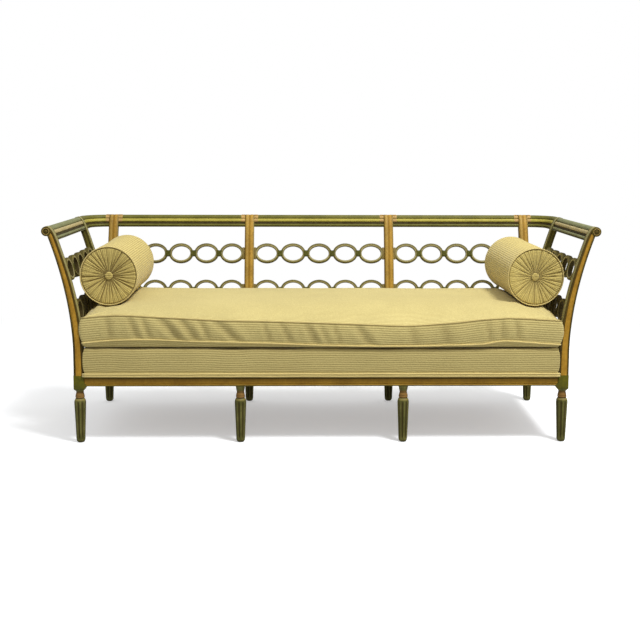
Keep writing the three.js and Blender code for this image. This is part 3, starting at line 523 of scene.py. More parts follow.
def build_posts():
    standing = RAIL_TOP + GAP
    jobs = []
    for name, sign in SIDES:
        jobs.append((f"front_arm_post_{name}", BLOCK_TOP - 0.002, sign * ARM_FACE, 0, (sign, 0), ARM_LOOKS))
        jobs.append((f"rear_arm_post_{name}", standing, sign * arm_x(REAR_ARM_Y), REAR_ARM_Y, (sign, 0),
                     REAR_ARM_LOOKS))
    for i, x in enumerate(BACK_LINES):
        foot = BLOCK_TOP + GAP if i in (0, 3) else standing
        jobs.append((f"back_post_{i + 1}", foot, x, BACK_FACE, (0, 1), BACK_LOOKS))
    for name, foot, x, y, out, looks in jobs:
        post(foot, x, y, out, looks).finish(name + "_moulded", paint, "ochre_paint", name)
        if foot < BLOCK_TOP:
            cx, hx = x - out[0] * POST_THICK / 2, POST_THICK / 2 + BLOCK_STEP
            painted_block(name + "_block", cx - hx, y - POST_HALF, cx + hx, y + POST_HALF)
        if out[1]:
            collars(name, x)
    for name, sign in SIDES:
        near, far = sorted(sign * edge for edge in (BACK_POST_X - POST_HALF, REAR_LEG_X + POST_HALF))
        painted_block(f"corner_block_{name}_painted", near, BLOCK_INNER_Y, far, BACK_FACE + BLOCK_STEP,
                      f"corner_block_{name}")


def painted_block(name, x0, y0, x1, y1, *nodes):
    block = Parts()
    block.add(*rounded_box((x0, y0, BLOCK_BOTTOM), (x1, y1, BLOCK_TOP), BLOCK_ROUND))
    block.finish(name, block_paint, "olive_paint", *nodes)


def collars(name, x):
    """Gilded collars round the roll at both sides of a back post."""
    angles = linspace(radians(118), radians(-20), 20)
    section = vstack([on_roll(ROLL_RADIUS - 0.0002, angles), on_roll(ROLL_RADIUS - 0.0035, angles[::-1])])
    near, far = POST_HALF + 0.0004, POST_HALF + 0.0150
    parts = Parts()
    for side in (-1, 1):
        stations = [(x + side * reach, BACK_FACE, 0, 1, shrink)
                    for reach, shrink in ((near, 0), (far - 0.001, 0), (far, 0.02))]
        sweep(parts, section, stations, 0.92, 0.1, 0.9, 0.3)
    parts.finish(name + "_gilded_collars", paint, "ochre_paint")


# Radius and height in mm, then tone and darkening (glaze_and_shade) up to the next, of the scroll's dark disc, light
# ring and gilded boss
ROSETTE = ((17.6, 0.0, 0, 0.3), (17.6, 0.8, 0, 0.25), (17.0, 1.4, 0.1, 0.2), (15.0, 1.6, 0.1, 0.5),
           (14.3, 0.9, 0.0, 0.8), (13.4, 1.0, 0.2, 0.4), (13.0, 2.6, 1.4, 0.25), (11.8, 3.5, 1.6, 0.2),
           (10.4, 3.3, 0.6, 0.6), (9.6, 2.0, 0.0, 0.9), (8.0, 1.4, 0.0, 0.95), (6.6, 1.6, 0.1, 0.7),
           (5.8, 3.0, 0.2, 0.4), (4.6, 4.1, 0.2, 0.5), (2.6, 4.6, 0.1, 0.8), (0.6, 4.7, 0.1, 0.0))


def build_rosettes():
    radii, heights, tones, glazes_and_shades = array(ROSETTE).T
    turns = 48
    flat = turned(around(turns), zip(radii / 1000, heights / 1000))
    for name, sign in SIDES:
        points = join(sign * (ARM_FACE + HEAD_REACH) + flat[:, 0], -POST_HALF - flat[:, 2] - 0.0001,
                      HEAD_HEIGHT + flat[:, 1])
        parts = Parts()
        parts.add(points, ring_faces(len(radii), turns), append(repeat(tones[:-1], turns), tones[-2:]),
                  append(repeat(glazes_and_shades[:-1], turns), [0, 0]))
        parts.finish(f"scroll_end_{name}", paint, "ochre_paint", f"scroll_rosette_{name}")


# ---------------------------------------------------------------- crest rails

# Start and end along the shoulder's curve, tone, darkening (glaze_and_shade), depth of the groove beside it, last
# tone and last darkening
REEDS = ((0.018, 0.125, 0.0, 0.05, 0.0038, 0.0, 1.0), (0.235, 0.470, 1.0, 0.0, 0.0046, 0.0, 0.45))
ROLL_START = 0.488
GILDED_END = 0.017
GILDED_EDGES = slice(14, 66)
GILDED_GROOVE = slice(26, 28)


def crest_section():
    """Points, tones and darkenings: lower reed, main reed and roll towards the seat, plain behind."""
    inset = 0.0015
    start, bend, end = shoulder_curve(inset)
    bottom = SHOULDER - 0.003
    rows = [(start[0] - 0.003 * tan(lean_at(bottom)), bottom, 0.0, 0.8)]

    def sunk_point(t, depth):
        slope = unit(2 * (1 - t) * (bend - start) + 2 * t * (end - bend))
        return bezier(start, bend, end, t) + array([slope[1], -slope[0]]) * depth

    for low, high, tone, glaze_and_shade, depth, last_tone, last_glaze_and_shade in REEDS:
        for s in arange(12) / 12:
            sunk = depth * (1 - sqrt(1 - (2 * s - 1) ** 2))
            rows.append((*sunk_point(low + (high - low) * s, sunk), tone, max(glaze_and_shade, 0.8 - 6 * min(s, 1 - s))))
        rows.append((*sunk_point(high, depth), last_tone, last_glaze_and_shade))
    for s in arange(19) / 18:
        sunk = 0.0050 * (1 - sqrt(1 - (2 * s - 1) ** 2)) if s <= 0.5 else 0
        rows.append((*sunk_point(ROLL_START + (1 - ROLL_START) * s, sunk), 0.0, max(0.0, 0.45 - 6 * s)))
    radius, back = ROLL_RADIUS - inset, 0.008
    stop = -pi / 2 - asin(back / radius)
    for i in range(1, 21):
        rows.append((*on_roll(radius, pi / 2 + (stop - pi / 2) * i / 20), 0.08, 0.0 if i < 17 else 0.5))
    neck = HEAD_HEIGHT - ROLL_RADIUS
    rows += [(flare_at(neck) - back, neck, 0.08, 0.2), (flare_at(bottom) - back, bottom, 0.0, 0.6)]
    out, z, tones, glazes_and_shades = array(rows, float).T
    return join(out, z), tones, glazes_and_shades


def build_crest():
    section, tones, glazes_and_shades = crest_section()
    near = POST_HALF + GAP

    def rail(name, stations, material=crest_paint, gilded=()):
        tone, glaze_and_shade = (tile(v, (len(stations) - 1, 1)) for v in (tones, glazes_and_shades))
        for end in gilded:
            tone[end, GILDED_EDGES], glaze_and_shade[end, GILDED_EDGES] = 2.0, maximum(0.1, 0.7 * glaze_and_shade[end, GILDED_EDGES])
            tone[end, GILDED_GROOVE], glaze_and_shade[end, GILDED_GROOVE] = 1.0, 0.7
        parts = Parts()
        sweep(parts, section, stations, tone, glaze_and_shade)
        parts.finish(name, material, "olive_paint", name.replace("crest", "crest_rail"), sharp=30)

    for name, sign in SIDES:
        line = [(sign * arm_x(y), y, sign, 0, 0) for y in linspace(near, REAR_ARM_Y - near, 5)]
        rail(f"arm_crest_{name}", line, arm_crest_sheen_paint)
        end = BACK_POST_X + near
        radius = arm_x(REAR_ARM_Y) + HEAD_REACH - end
        reach = radius - HEAD_REACH
        line = [(sign * arm_x(REAR_ARM_Y), REAR_ARM_Y + near, sign, 0, 0)]
        for a in linspace(0, pi / 2, 19):
            ox, oy = sign * cos(a), sin(a)
            line.append((sign * end + reach * ox, BACK_FACE - reach + reach * oy, ox, oy, 0))
        rail(f"corner_crest_{name}", line, gilded=(-2, -1))
    for i in range(3):
        first, last = BACK_LINES[i] + near, BACK_LINES[i + 1] - near
        xs = [first, *linspace(first + GILDED_END, last - GILDED_END, 6), last]
        rail(f"back_crest_{i + 1}", [(x, BACK_FACE, 0, 1, 0) for x in xs], gilded=(0, -1))


# ---------------------------------------------------------------- ring galleries

RING_COUNT = 5
RING_HEIGHT = 0.0875
RING_THICK = 0.013
RING_SPACE = 0.0045
RING_DEPTH = 0.020
END_BLOCK = (0.010, 0.0255)
# Height of each tier, and how much painted shade darkens it in the arms
TIERS = (("upper", 0.6405, 0.1), ("lower", 0.4855, 0.62))


def gallery(clear, inner_wall_shade=0.3):
    """Five oval rings with rounded faces, a carved knot at each joint and a block at each end, flat in (u, v, w)."""
    parts = Parts()
    pitch = clear / RING_COUNT
    turns, sides = 56, 16
    half_wide = (pitch - RING_SPACE) / 2 - RING_THICK / 2
    half_high = RING_HEIGHT / 2 - RING_THICK / 2
    spin = around(sides)
    wide, deep = (np.sign(v) * abs(v) ** 0.5 * size / 2
                  for v, size in ((cos(spin), RING_THICK), (sin(spin), RING_DEPTH)))
    # Painted shade darkens the outer part of the section and, more, the inner wall facing the opening; a painted
    # highlight runs inside it as a light line
    place = cos(spin + pi / sides)
    painted_shade = where(place > 0.8, 0.45, where(place > -0.75, 0.08, inner_wall_shade))
    light = where((place > -0.62) & (place < 0.05), 1.6, 0.3)
    for ring in range(RING_COUNT):
        centre = (ring - (RING_COUNT - 1) / 2) * pitch
        points = []
        for a in around(turns):
            nu, nv = half_high * cos(a), half_wide * sin(a)
            nu, nv = nu / hypot(nu, nv), nv / hypot(nu, nv)
            points.append(join(centre + half_wide * cos(a) + nu * wide, half_high * sin(a) + nv * wide, deep))
        parts.add(vstack(points), ring_faces(turns, sides, True), tile(light, turns), tile(painted_shade, turns))
    for joint in range(1, RING_COUNT):
        knot(parts, (joint - RING_COUNT / 2) * pitch)
    length, half = END_BLOCK
    for low in (-clear / 2, clear / 2 - length):
        points, faces = rounded_box((low, -RING_DEPTH / 2, -half), (low + length, RING_DEPTH / 2, half), 0.0018)
        parts.add(points[:, [0, 2, 1]], faces, 0.7, 0.1)
    return parts


def knot(parts, u):
    """Bound joint: a pillow with a raised cross on both faces, drawn in at the waist."""
    steps = 12
    grid = linspace(-1, 1, steps + 1)
    gu, gv = np.meshgrid(grid, grid)
    au, av = abs(gu), abs(gv)
    bulge = (1 - au ** 4) * (1 - av ** 4)
    cut = exp(-((au - av) / 0.16) ** 2) * smooth(0.75, 0.45, maximum(au, av))
    height = RING_DEPTH / 2 - 0.0003 + 0.0022 * bulge * (1 - 0.6 * cut)
    front = join(u + gu * 0.0132 * (1 - 0.16 * cos(gv * pi / 2) ** 2),
                 gv * 0.0142 * (1 - 0.14 * cos(gu * pi / 2) ** 2), height).reshape(-1, 3)
    index = arange(gu.size).reshape(gu.shape)
    quads = grid_faces(index)
    rim = index[tuple(grid_border(steps, steps))]
    after = np.roll(rim, -1)
    across, up = np.meshgrid(*[abs(grid[:-1] + 1 / steps)] * 2)
    most = maximum(across, up)
    glaze_and_shade = where((abs(across - up) < 0.1) & (most < 0.6), 0.75, 0.05 + 0.4 * (most > 0.9)).ravel()
    faces = vstack([quads, quads[:, ::-1] + gu.size, join(rim, after, after + gu.size, rim + gu.size)])
    parts.add(vstack([front, front * [1, 1, -1]]), faces.tolist(), 0.0, concatenate([glaze_and_shade, glaze_and_shade, 0.45 + 0.0 * rim]))


def hang_gallery(flat, x, y, out, drift, tier, name, node_name, painted_shade=0.0):
    """Place a flat gallery on its tier, leaning with the posts."""
    lean = lean_at(tier)
    up = array([out[0] * sin(lean), out[1] * sin(lean), cos(lean)])
    along = array([-out[1], out[0], 0.0])
    through = np.cross(along, up)
    inward = flare_at(tier) - thick_at(tier) / 2
    u, v, w = vstack(flat.points).T[:, :, None]
    middle = array([x + out[0] * inward, y + out[1] * inward, tier])
    placed = Parts()
    # painted_shade adds painted shade evenly over the whole gallery
    placed.add(middle + u * (along + [drift, 0, 0]) + v * up + w * through, flat.faces, concatenate(flat.tone),
               clip(concatenate(flat.glaze_and_shade) + painted_shade, 0, 1))
    placed.finish(name, ring_paint, "olive_paint", node_name, sharp=42)


def build_galleries():
    front, rear = POST_HALF, REAR_ARM_Y - POST_HALF
    # The arm galleries carry heavier painted shade on the inner walls of their rings
    side_flat = gallery(rear - front - 2 * GAP, 0.85)
    y = (front + rear) / 2
    for level, tier, painted_shade in TIERS:
        for i in range(3):
            low, high = BACK_LINES[i:i + 2]
            hang_gallery(gallery(high - low - POST_WIDTH - 2 * GAP), (low + high) / 2, BACK_FACE, (0, 1), 0, tier,
                         f"back_rings_{level}_{i + 1}", f"back_gallery_{level}_{i + 1}")
        for name, sign in SIDES:
            hang_gallery(side_flat, sign * arm_x(y), y, (sign, 0), SPLAY, tier,
                         f"arm_rings_{level}_{name}", f"arm_gallery_{level}_{name}", painted_shade)


# ---------------------------------------------------------------- rails and legs


def rail_section():
    """Points, tones and darkenings: a shallow cove between a top fillet and a half-round bead along the lower edge.
    """
    face, bead, height = 0.016, 0.0037, RAIL_TOP - RAIL_BOTTOM
    # Painted shade darkens the face towards the top, under the deck's welt, and the bead's underside; the bead's
    # upper half is a painted highlight
    rows = [(-2 * face, 0, 0.0, 0.3), (0, 0, 0.12, 0.2)]
    for i in range(1, 12):
        a = -pi / 2 + pi * i / 12
        rows.append((0.0034 * cos(a), bead + bead * sin(a), 0.7 if i > 6 else 0.1, 0.15 if i > 3 else 0.4))
    rows += [(-0.0012, 0.0077, 0.3, 1.0), (-0.0010, 0.0085, 0.9, 0.4), (-0.0002, 0.0096, 0.9, 0.12),
             (-0.0005, 0.0150, 0.85, 0.22), (-0.0009, 0.0200, 0.8, 0.38), (-0.0006, 0.0262, 0.7, 0.65),
             (-0.0014, 0.0268, 0.4, 1.0), (-0.0014, 0.0278, 0.5, 0.85), (0, 0.0286, 0.5, 0.7),
             (-0.0002, 0.0338, 0.2, 0.9), (-0.001, height, 0.0, 0.6), (-2 * face, height, 0.0, 0.5)]
    out, up, tones, glazes_and_shades = array(rows).T
    return join(face + out, RAIL_BOTTOM + up), tones, glazes_and_shades


def build_rails():
    section = rail_section()
    half, back_half = BLOCK_INNER_X - GAP, BACK_POST_X - POST_HALF - GAP
    lines = {"front_rail": [(x, 0, 0, -1, 0) for x in linspace(-half, half, 13)],
             "back_rail": [(x, LEG_DEPTH, 0, 1, 0) for x in linspace(-back_half, back_half, 13)]}
    for name, sign in SIDES:
        ys = linspace(POST_HALF + GAP, BLOCK_INNER_Y - GAP, 6)
        lines[f"side_rail_{name}"] = [(sign * (LEG_X + SPLAY * y), y, sign, 0, 0) for y in ys]
    for name, stations in lines.items():
        parts = Parts()
        sweep(parts, section[0], stations, *section[1:])
        if name == "front_rail":
            for sign in (-1, 1):
                corner_bracket(parts, sign)
        parts.finish(name + "_moulded", paint, "ochre_paint", name)


def corner_bracket(parts, sign):
    """Small green bracket, rounded, between the rail's bead and the block."""
    u, v = array([(0.0, 15.0), (-3.5, 14.0), (-6.2, 10.5), (-10.5, 8.5), (-10.0, 3.5), (-7.8, -0.5), (-5.0, -4.5),
                  (-2.4, -8.5), (0.0, -12.0)]).T / 1000
    rings = [join(sign * (BLOCK_INNER_X + 0.0016 + u + (u < 0) * pull), y, RAIL_BOTTOM - 0.003 + v)
             for y, pull in ((0.0185, 0.0012), (0.0165, 0), (-0.0175, 0), (-0.0195, 0.0012))]
    parts.add(vstack(rings), ring_faces(len(rings), len(u)))


# Height, radius in mm and share of the fluting, up the foot and up the neck
FOOT_ROWS = ((0, 8.6, 0), (0.8, 10.8, 0), (2.6, 13.0, 0), (5.5, 14.8, 0), (9.0, 15.9, 0), (12.0, 16.3, 0.15),
             (15.0, 16.4, 0.55), (19.0, 16.6, 0.9))
NECK_ROWS = ((150.0, 21.6, 0.9), (153.5, 21.5, 0.6), (156.5, 21.0, 0.25), (159.5, 20.2, 0.05), (162.5, 19.0, 0),
             (164.8, 17.4, 0), (166.4, 15.8, 0), (169.0, 15.6, 0), (169.8, 16.4, 0), (170.8, 17.0, 0),
             (173.0, 17.1, 0), (175.4, 16.8, 0), (176.2, 16.3, 0), (177.0, 16.3, 0), (178.0, 16.4, 0),
             (181.0, 15.7, 0), (184.5, 14.9, 0), (186.6, 14.4, 0), (187.4, 13.7, 0), (188.4, 13.5, 0),
             (189.4, 13.9, 0), (190.6, 13.7, 0), (191.5, 13.7, 0))
# Height below which a tone and a darkening (glaze_and_shade) hold
LEG_BANDS = ((9, 0.0, 0.45), (159, 0.0, 0.05), (165, 1.7, 0.05), (169.5, 0.3, 0.9), (176.1, 1.0, 0.05),
             (177.5, 1.0, 0.7), (186, 1.0, 0.05), (192, 0.9, 0.5))
FLUTES = 8
FLUTE_DEPTH = 3.4
CAP_HALF = 19.4


def leg(x, y, top, squared, turn):
    """Turned and fluted leg, its cap square under a block and round under a rail."""
    count = 128
    angles = around(count)
    flute = clip(cos(FLUTES * (angles - pi / 2 - turn)) * -1.5 + 0.45, 0, 1) ** 0.8
    shaft = [(z, 16.5 + (z - 19) / (148 - 19) * 5.0, 1.0) for z in linspace(24, 146, 22)]
    rows, looks = [], []
    for z, r, fluted in (*FOOT_ROWS, *shaft, *NECK_ROWS):
        rows.append((r - FLUTE_DEPTH * fluted * flute, z))
        tone, glaze_and_shade = next((t, g) for below, t, g in LEG_BANDS if z < below)
        looks.append((tone, glaze_and_shade, fluted))
    neck_z, neck_r, _ = NECK_ROWS[-1]
    for s in (0.2, 0.45, 0.7, 0.9, 1.0):
        r = neck_r + 4.6 * s ** 0.9
        if squared:
            side = CAP_HALF * s ** 0.35
            r = r * (1 - s) + minimum(side / maximum(abs(cos(angles)), abs(sin(angles))), side * 1.30) * s
        rows.append((r, neck_z + (top * 1000 - neck_z) * s))
        looks.append((0.02, 0.25 if s < 0.5 else 0.0, 0))
    tone, glaze_and_shade, fluted = repeat(looks[:-1], count, 0).T
    deep = tile(np.roll(flute, -1) * 0.5 + flute * 0.5, len(rows) - 1)
    parts = Parts()
    parts.add(turned(angles, rows) / 1000 + [x, y, 0], ring_faces(len(rows), count), append(tone, [0, 0]),
              append(clip(glaze_and_shade + fluted * deep * 0.75, 0, 1), [0.8, 0.5]))
    return parts


def build_legs():
    for row, y, span in (("front", 0, LEG_X), ("back", LEG_DEPTH, REAR_LEG_X)):
        for i, (x, turn) in enumerate(zip((-span, -INNER_X, INNER_X, span), (12, 7, 9, 2))):
            outer = i in (0, 3)
            parts = leg(x, y, (BLOCK_BOTTOM if outer else RAIL_BOTTOM) - 0.0002, outer, radians(turn))
            parts.finish(f"{row}_turned_leg_{i + 1}", leg_paint, "leg_paint", f"{row}_leg_{i + 1}", sharp=50)


# ---------------------------------------------------------------- soft pieces

SOFT_HALF = BLOCK_INNER_X - CLOTH_GAP
SOFT_BACK = BLOCK_INNER_Y - CLOTH_GAP
DECK_BOTTOM = RAIL_TOP + GAP
FILL_FRAMES = 20
FILL_REACH = 0.0105
REST_SEAM, REST_WELT, CROWN_SEAM, CROWN_TOP = 0.462, 0.372, 0.460, 0.522
WELT_SIDES = 10
LOWER_WELT, UPPER_SEAM = 5, 13

# Places along the cushion and heights of its two front seams
SEAM = array(((-878, -816, -757, -697, -608, -489, -371, -192, 0, 136, 257, 318, 379, 500, 592, 683, 744, 866, 878),
              (470, 476.9, 479.9, 478.4, 472.8, 466.8, 460, 457.2, 451, 446.6, 441.7, 440.9, 443.6, 452.8, 463.5,
               469.8, 468, 460.5, 459))) / 1000
WELT = array(((-878, -816, -757, -697, -608, -489, -371, -192, 0, 136, 257, 379, 500, 592, 652, 683, 744, 866, 878),
              (376.5, 384.2, 388, 390, 389.5, 384, 381.7, 376.5, 369, 366, 365.5, 366, 369.7, 372.3, 382.5, 384.7,
               380.6, 371.3, 371))) / 1000
# Folds across the cushion's front: top, bottom, half width and depth
FOLDS = array(((-709, -679, 13, 3.0), (-661, -632, 11, 3.2), (-596, -525, 20, 5.0), (-519, -465, 17, 5.0),
               (-448, -418, 11, 3.4), (-388, -311, 20, 4.8), (-216, -192, 9, 3.6), (-151, -115, 12, 3.6),
               (-62, -26, 12, 3.8), (-47, -10, 9, 2.6), (-10, 26, 9, 2.6), (44, 69, 10, 2.0), (129, 178, 18, 4.2),
               (610, 622, 9, 2.2), (664, 672, 10, 2.0), (716, 730, 11, 2.0), (-790, -775, 14, 1.8),
               (330, 352, 20, 1.2), (450, 470, 24, 1.2))) / 1000


def waves(x, y, scale, seed, count=7):
    """Smooth unevenness between about -1 and 1, the same in every run."""
    draw = np.random.default_rng(seed)
    total = 0
    for _ in range(count):
        angle, phase, size = draw.uniform(0, pi), draw.uniform(0, 6.28), draw.uniform(0.6, 1.7)
        total = total + sin((x * cos(angle) + y * sin(angle)) * size * 6.28 / scale + phase)
    return total / count ** 0.5 / 1.4


class SoftBox:
    """Closed box of cloth: levels round its sides, a grid on top and one below, and how its weave lies on it.

    levels are (how far drawn in at the ends, at the front and back, height function), from the bottom up."""

    def __init__(self, front, back, corner, columns, rows, levels, top_at, bottom_at):
        edge = minimum(rows - front, back - rows)
        rounded = SOFT_HALF - corner + sqrt(maximum(0, corner ** 2 - (corner - minimum(edge, corner)) ** 2))
        gx = columns * (where(edge < corner, rounded, SOFT_HALF) / SOFT_HALF)[:, None]
        gy = repeat(rows[:, None], len(columns), 1)
        bj, bi = grid_border(len(rows) - 1, len(columns) - 1)
        bx, by = gx[bj, bi], gy[bj, bi]
        mid, depth = (front + back) / 2, (back - front) / 2

        def drawn(x, y, dx, dy, height):
            x, y = x * (1 - dx / SOFT_HALF), mid + (y - mid) * (1 - dy / depth)
            return join(x, y, height(x, y))

        points = [drawn(bx, by, *level) for level in levels]
        self.loops = list(arange(len(levels) * len(bx)).reshape(len(levels), -1))
        self.grids = []
        for end, height in ((-1, top_at), (0, bottom_at)):
            loop, (dx, dy, _) = self.loops[end], levels[end]
            index = np.full(gx.shape, -1)
            index[bj, bi] = loop
            inner = index < 0
            index[inner] = sum(map(len, points)) + arange(inner.sum())
            points.append(drawn(gx[inner], gy[inner], dx, dy, height))
            self.grids.append(index)
        self.points = p = vstack(points)
        faces = [grid_faces(index) for index in self.grids]
        across = [p[quads.ravel(), 1] - front for quads in faces]
        along = [p[quads.ravel(), 0] for quads in faces]
        run = append(0, np.cumsum(hypot_steps(join(bx, by))))
        k = arange(len(bx))
        m = (k + 1) % len(bx)
        for low, high in zip(self.loops[:-1], self.loops[1:]):
            faces.append(join(low[k], low[m], high[m], high[k]))
            drop = p[faces[-1], 2] - p[self.loops[-1], 2][join(k, m, m, k)]
            across.append(drop.ravel())
            along.append(join(run[k], run[k + 1], run[k + 1], run[k]).ravel())
        self.faces = vstack(faces).tolist()
        self.across, self.along = concatenate(across), concatenate(along)

    def piece(self, name, crease_shade=0.0):
        return mesh_piece(name, self.points, self.faces, cloth, CORNER={"across": self.across, "along": self.along},
                          POINT={"crease_shade": broadcast_to(crease_shade, len(self.points))})


def hypot_steps(path):
    """Length of each step of a closed path."""
    return np.linalg.norm(np.diff(path, axis=0, append=path[:1]), axis=1)


def eased(low, high, steps, ease):
    """Even steps that draw together towards both ends."""
    s = linspace(0, 1, steps + 1)
    return low + (high - low) * (s * (1 - ease) + (1 - cos(pi * s)) / 2 * ease)


def welt(name, path, radius, body, crease_shade=0.0):
    points, faces = tube(path, radius, WELT_SIDES)
    run = append(0, np.cumsum(hypot_steps(path)))
    ring, spin = ring_corners(len(path), WELT_SIDES)
    share = spin / WELT_SIDES
    piece = mesh_piece(name, points, faces, welt_cloth, POINT={"crease_shade": np.full(len(points), crease_shade)},
                       CORNER={"across": run[ring] + share * WELT_PITCH, "along": share * 2 * pi * radius})
    finish_piece(piece, body, "corded_cloth")


def soft_piece(box, name, body, node_name, crease_shade):
    piece = box.piece(name, crease_shade)
    made = piece.modifiers.new("rounded", "SUBSURF")
    made.levels = made.render_levels = 1
    apply_modifier(piece, made)
    finish_piece(piece, body, "corded_cloth", node_name)


def apply_modifier(piece, made):
    with bpy.context.temp_override(object=piece, active_object=piece, selected_objects=[piece]):
        bpy.ops.object.modifier_apply(modifier=made.name)


def lap_over_posts(x, y, reach, start):
    """Let the cloth's front corners run on in front of the arm posts, and not beside or behind them."""
    ahead = smooth(-POST_HALF - 0.0003, -POST_HALF - 0.0016, y)
    run = clip((abs(x) - start) / (SOFT_HALF - start), 0, 1)
    x += np.sign(x) * reach * ahead * run ** 1.5


def pull_out(x, edge, share):
    x += np.sign(x) * (edge - abs(x)) * share


def in_metres(levels, height):
    return [(dx / 1000, dy / 1000, height(share)) for dx, dy, share in levels]


def build_deck():
    front = -POST_HALF - 0.0035
    height = DECK_TOP - DECK_BOTTOM

    def lip(x, y):
        return DECK_TOP - 0.0035 + 0.0022 * waves(x, y, 0.30, 21)

    def level(share):
        return lambda x, y: DECK_BOTTOM + height * share

    levels = in_metres(((10, 10, 0.002), (3.5, 3.5, 0.003), (2.8, 2.8, 0.03), (3.0, 3.0, 0.08), (3.4, 3.4, 0.125),
                        (2.2, 2.0, 0.16), (1.2, 1.0, 0.24), (0.6, 0.3, 0.36), (0.4, 0, 0.5), (0.4, 0.2, 0.64),
                        (0.5, 0.5, 0.76), (0.6, 1.2, 0.85), (1.0, 2.6, 0.91), (1.7, 4.8, 0.955)), level)
    levels += [(0.0032, 0.0088, lambda x, y: lip(x, y) - 0.0008), (0.0062, 0.0140, lip)]
    rows = append(front + array([0, 0.8, 1.8, 2.7, 3.3, 4.5]) / 1000, eased(front + 0.008, SOFT_BACK, 44, 0.6))
    box = SoftBox(front, SOFT_BACK, 0.0022, eased(-SOFT_HALF, SOFT_HALF, 120, 0.4), rows, levels,
                  lambda x, y: lip(x, y) + 0.0003, level(0.002))
    x, y, z = box.points.T

    def share():
        return (z - DECK_BOTTOM) / height

    lap_over_posts(x, y, 0.0058 * smooth(0.10, 0.16, share()) * smooth(1.03, 0.96, share()), 0.855)
    top = smooth(0.88, 0.94, share())
    pull_out(x, SOFT_HALF - 0.0008,
             top * smooth(0.16, 0.06, y - front) * smooth(0.850, 0.868, abs(x)) * (abs(x) < SOFT_HALF))
    z += 0.0045 * top * smooth(0.09, 0.02, y - front) * smooth(0.835, 0.872, abs(x))
    side = smooth(0.25, 0.5, share()) * smooth(1.0, 0.85, share())
    near = smooth(0.03, 0.0, y - front)
    y += near * side * (0.0010 * waves(x, z * 2, 0.42, 5) + 0.0004) * smooth(0.874, 0.84, abs(x))
    # Painted shade over the deck's front face, deepest in its top strip under the cushion
    soft_piece(box, "deck_upholstery", "frame", "deck", near * (0.25 + 0.12 * smooth(0.8, 0.95, share())))
    for number, rise in enumerate((0.0042, 0.0122)):
        loop = box.points[box.loops[3]]
        x, y, z = loop.T
        z[:] = DECK_BOTTOM + rise + 0.0004 * waves(x, y, 0.25, 31 + number)
        x -= np.sign(x) * (abs(x) > 0.99 * SOFT_HALF) * 0.0006
        ahead = y < front + 0.0034
        x[ahead] *= (BLOCK_INNER_X + 0.0030) / abs(x[ahead]).max()
        y[ahead] = front - 0.0008
        welt(f"deck_welt_{number + 1}", loop, 0.0040, "frame")


# How each bolster differs from its solid: metres inwards, up and thicker, and drift in x per metre to the rear
BOLSTER_TALL = 1.03
BOLSTER_MOVES = {"left": (0.0100, 0.0030, 0.0025, 0.0), "right": (0.0, -0.0010, 0.0010, -0.025)}


def bolster_axis(name):
    """Front end of the axis, tilt, radius, length and drift."""
    low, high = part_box(f"bolster_{name}")
    radius = (high.x - low.x) / 2
    rise = (high.z - low.z) - 2 * radius
    length = (high.y - low.y) - rise * 2 * radius / (high.y - low.y)
    tilt = atan2(rise, length)
    inwards, up, thicker, drift = BOLSTER_MOVES[name]
    return ((low.x + high.x) / 2 + inwards, low.y - FRONT_Y + radius * sin(tilt), low.z + radius + up, tilt,
            radius + thicker, length, drift)


AXES = {name: bolster_axis(name) for name, _ in SIDES}


def crown(x, y):
    def fill(d, s):
        return 1 - exp(-maximum(0, d) / s)

    at_front = smooth(0.30, 0.0, y)
    seam = interp(x, *SEAM) * at_front + CROWN_SEAM * (1 - at_front)
    ends = fill(SOFT_HALF - abs(x), where(x < 0, 0.022, 0.025))
    return seam + (CROWN_TOP - seam) * ends * fill(y - CUSHION_FRONT, 0.105) * fill(SOFT_BACK - y, 0.040)


def under_bolsters(x, y):
    """Height of the bolsters' undersides, or a high level where there are none."""
    lowest = 9.0
    for ax, ay, az, tilt, radius, _, drift in AXES.values():
        aside = abs(x - ax - drift * (y - ay))
        under = az + (y - ay) * tan(tilt) - BOLSTER_TALL * sqrt(maximum(0, radius ** 2 - aside ** 2)) / cos(tilt)
        ahead = maximum(0, ay - y)
        under += ahead * 0.12 + maximum(0, ahead - 0.035) * 0.8 - 0.0055 * smooth(ay + 0.07, ay, y)
        lowest = minimum(lowest, where(aside < radius, under, 9.0))
    return lowest - 0.0012


def soft_least(a, b, width):
    """Lower of two heights, blended where they are closer than width."""
    h = clip(0.5 + 0.5 * (b - a) / width, 0, 1)
    return b * (1 - h) + a * h - width * h * (1 - h)


def cushion_top(x, y):
    top = crown(x, y) + 0.0016 * waves(x, y, 0.55, 3) * smooth(0.02, 0.12, y - CUSHION_FRONT)
    return soft_least(top, under_bolsters(x, y), 0.010)


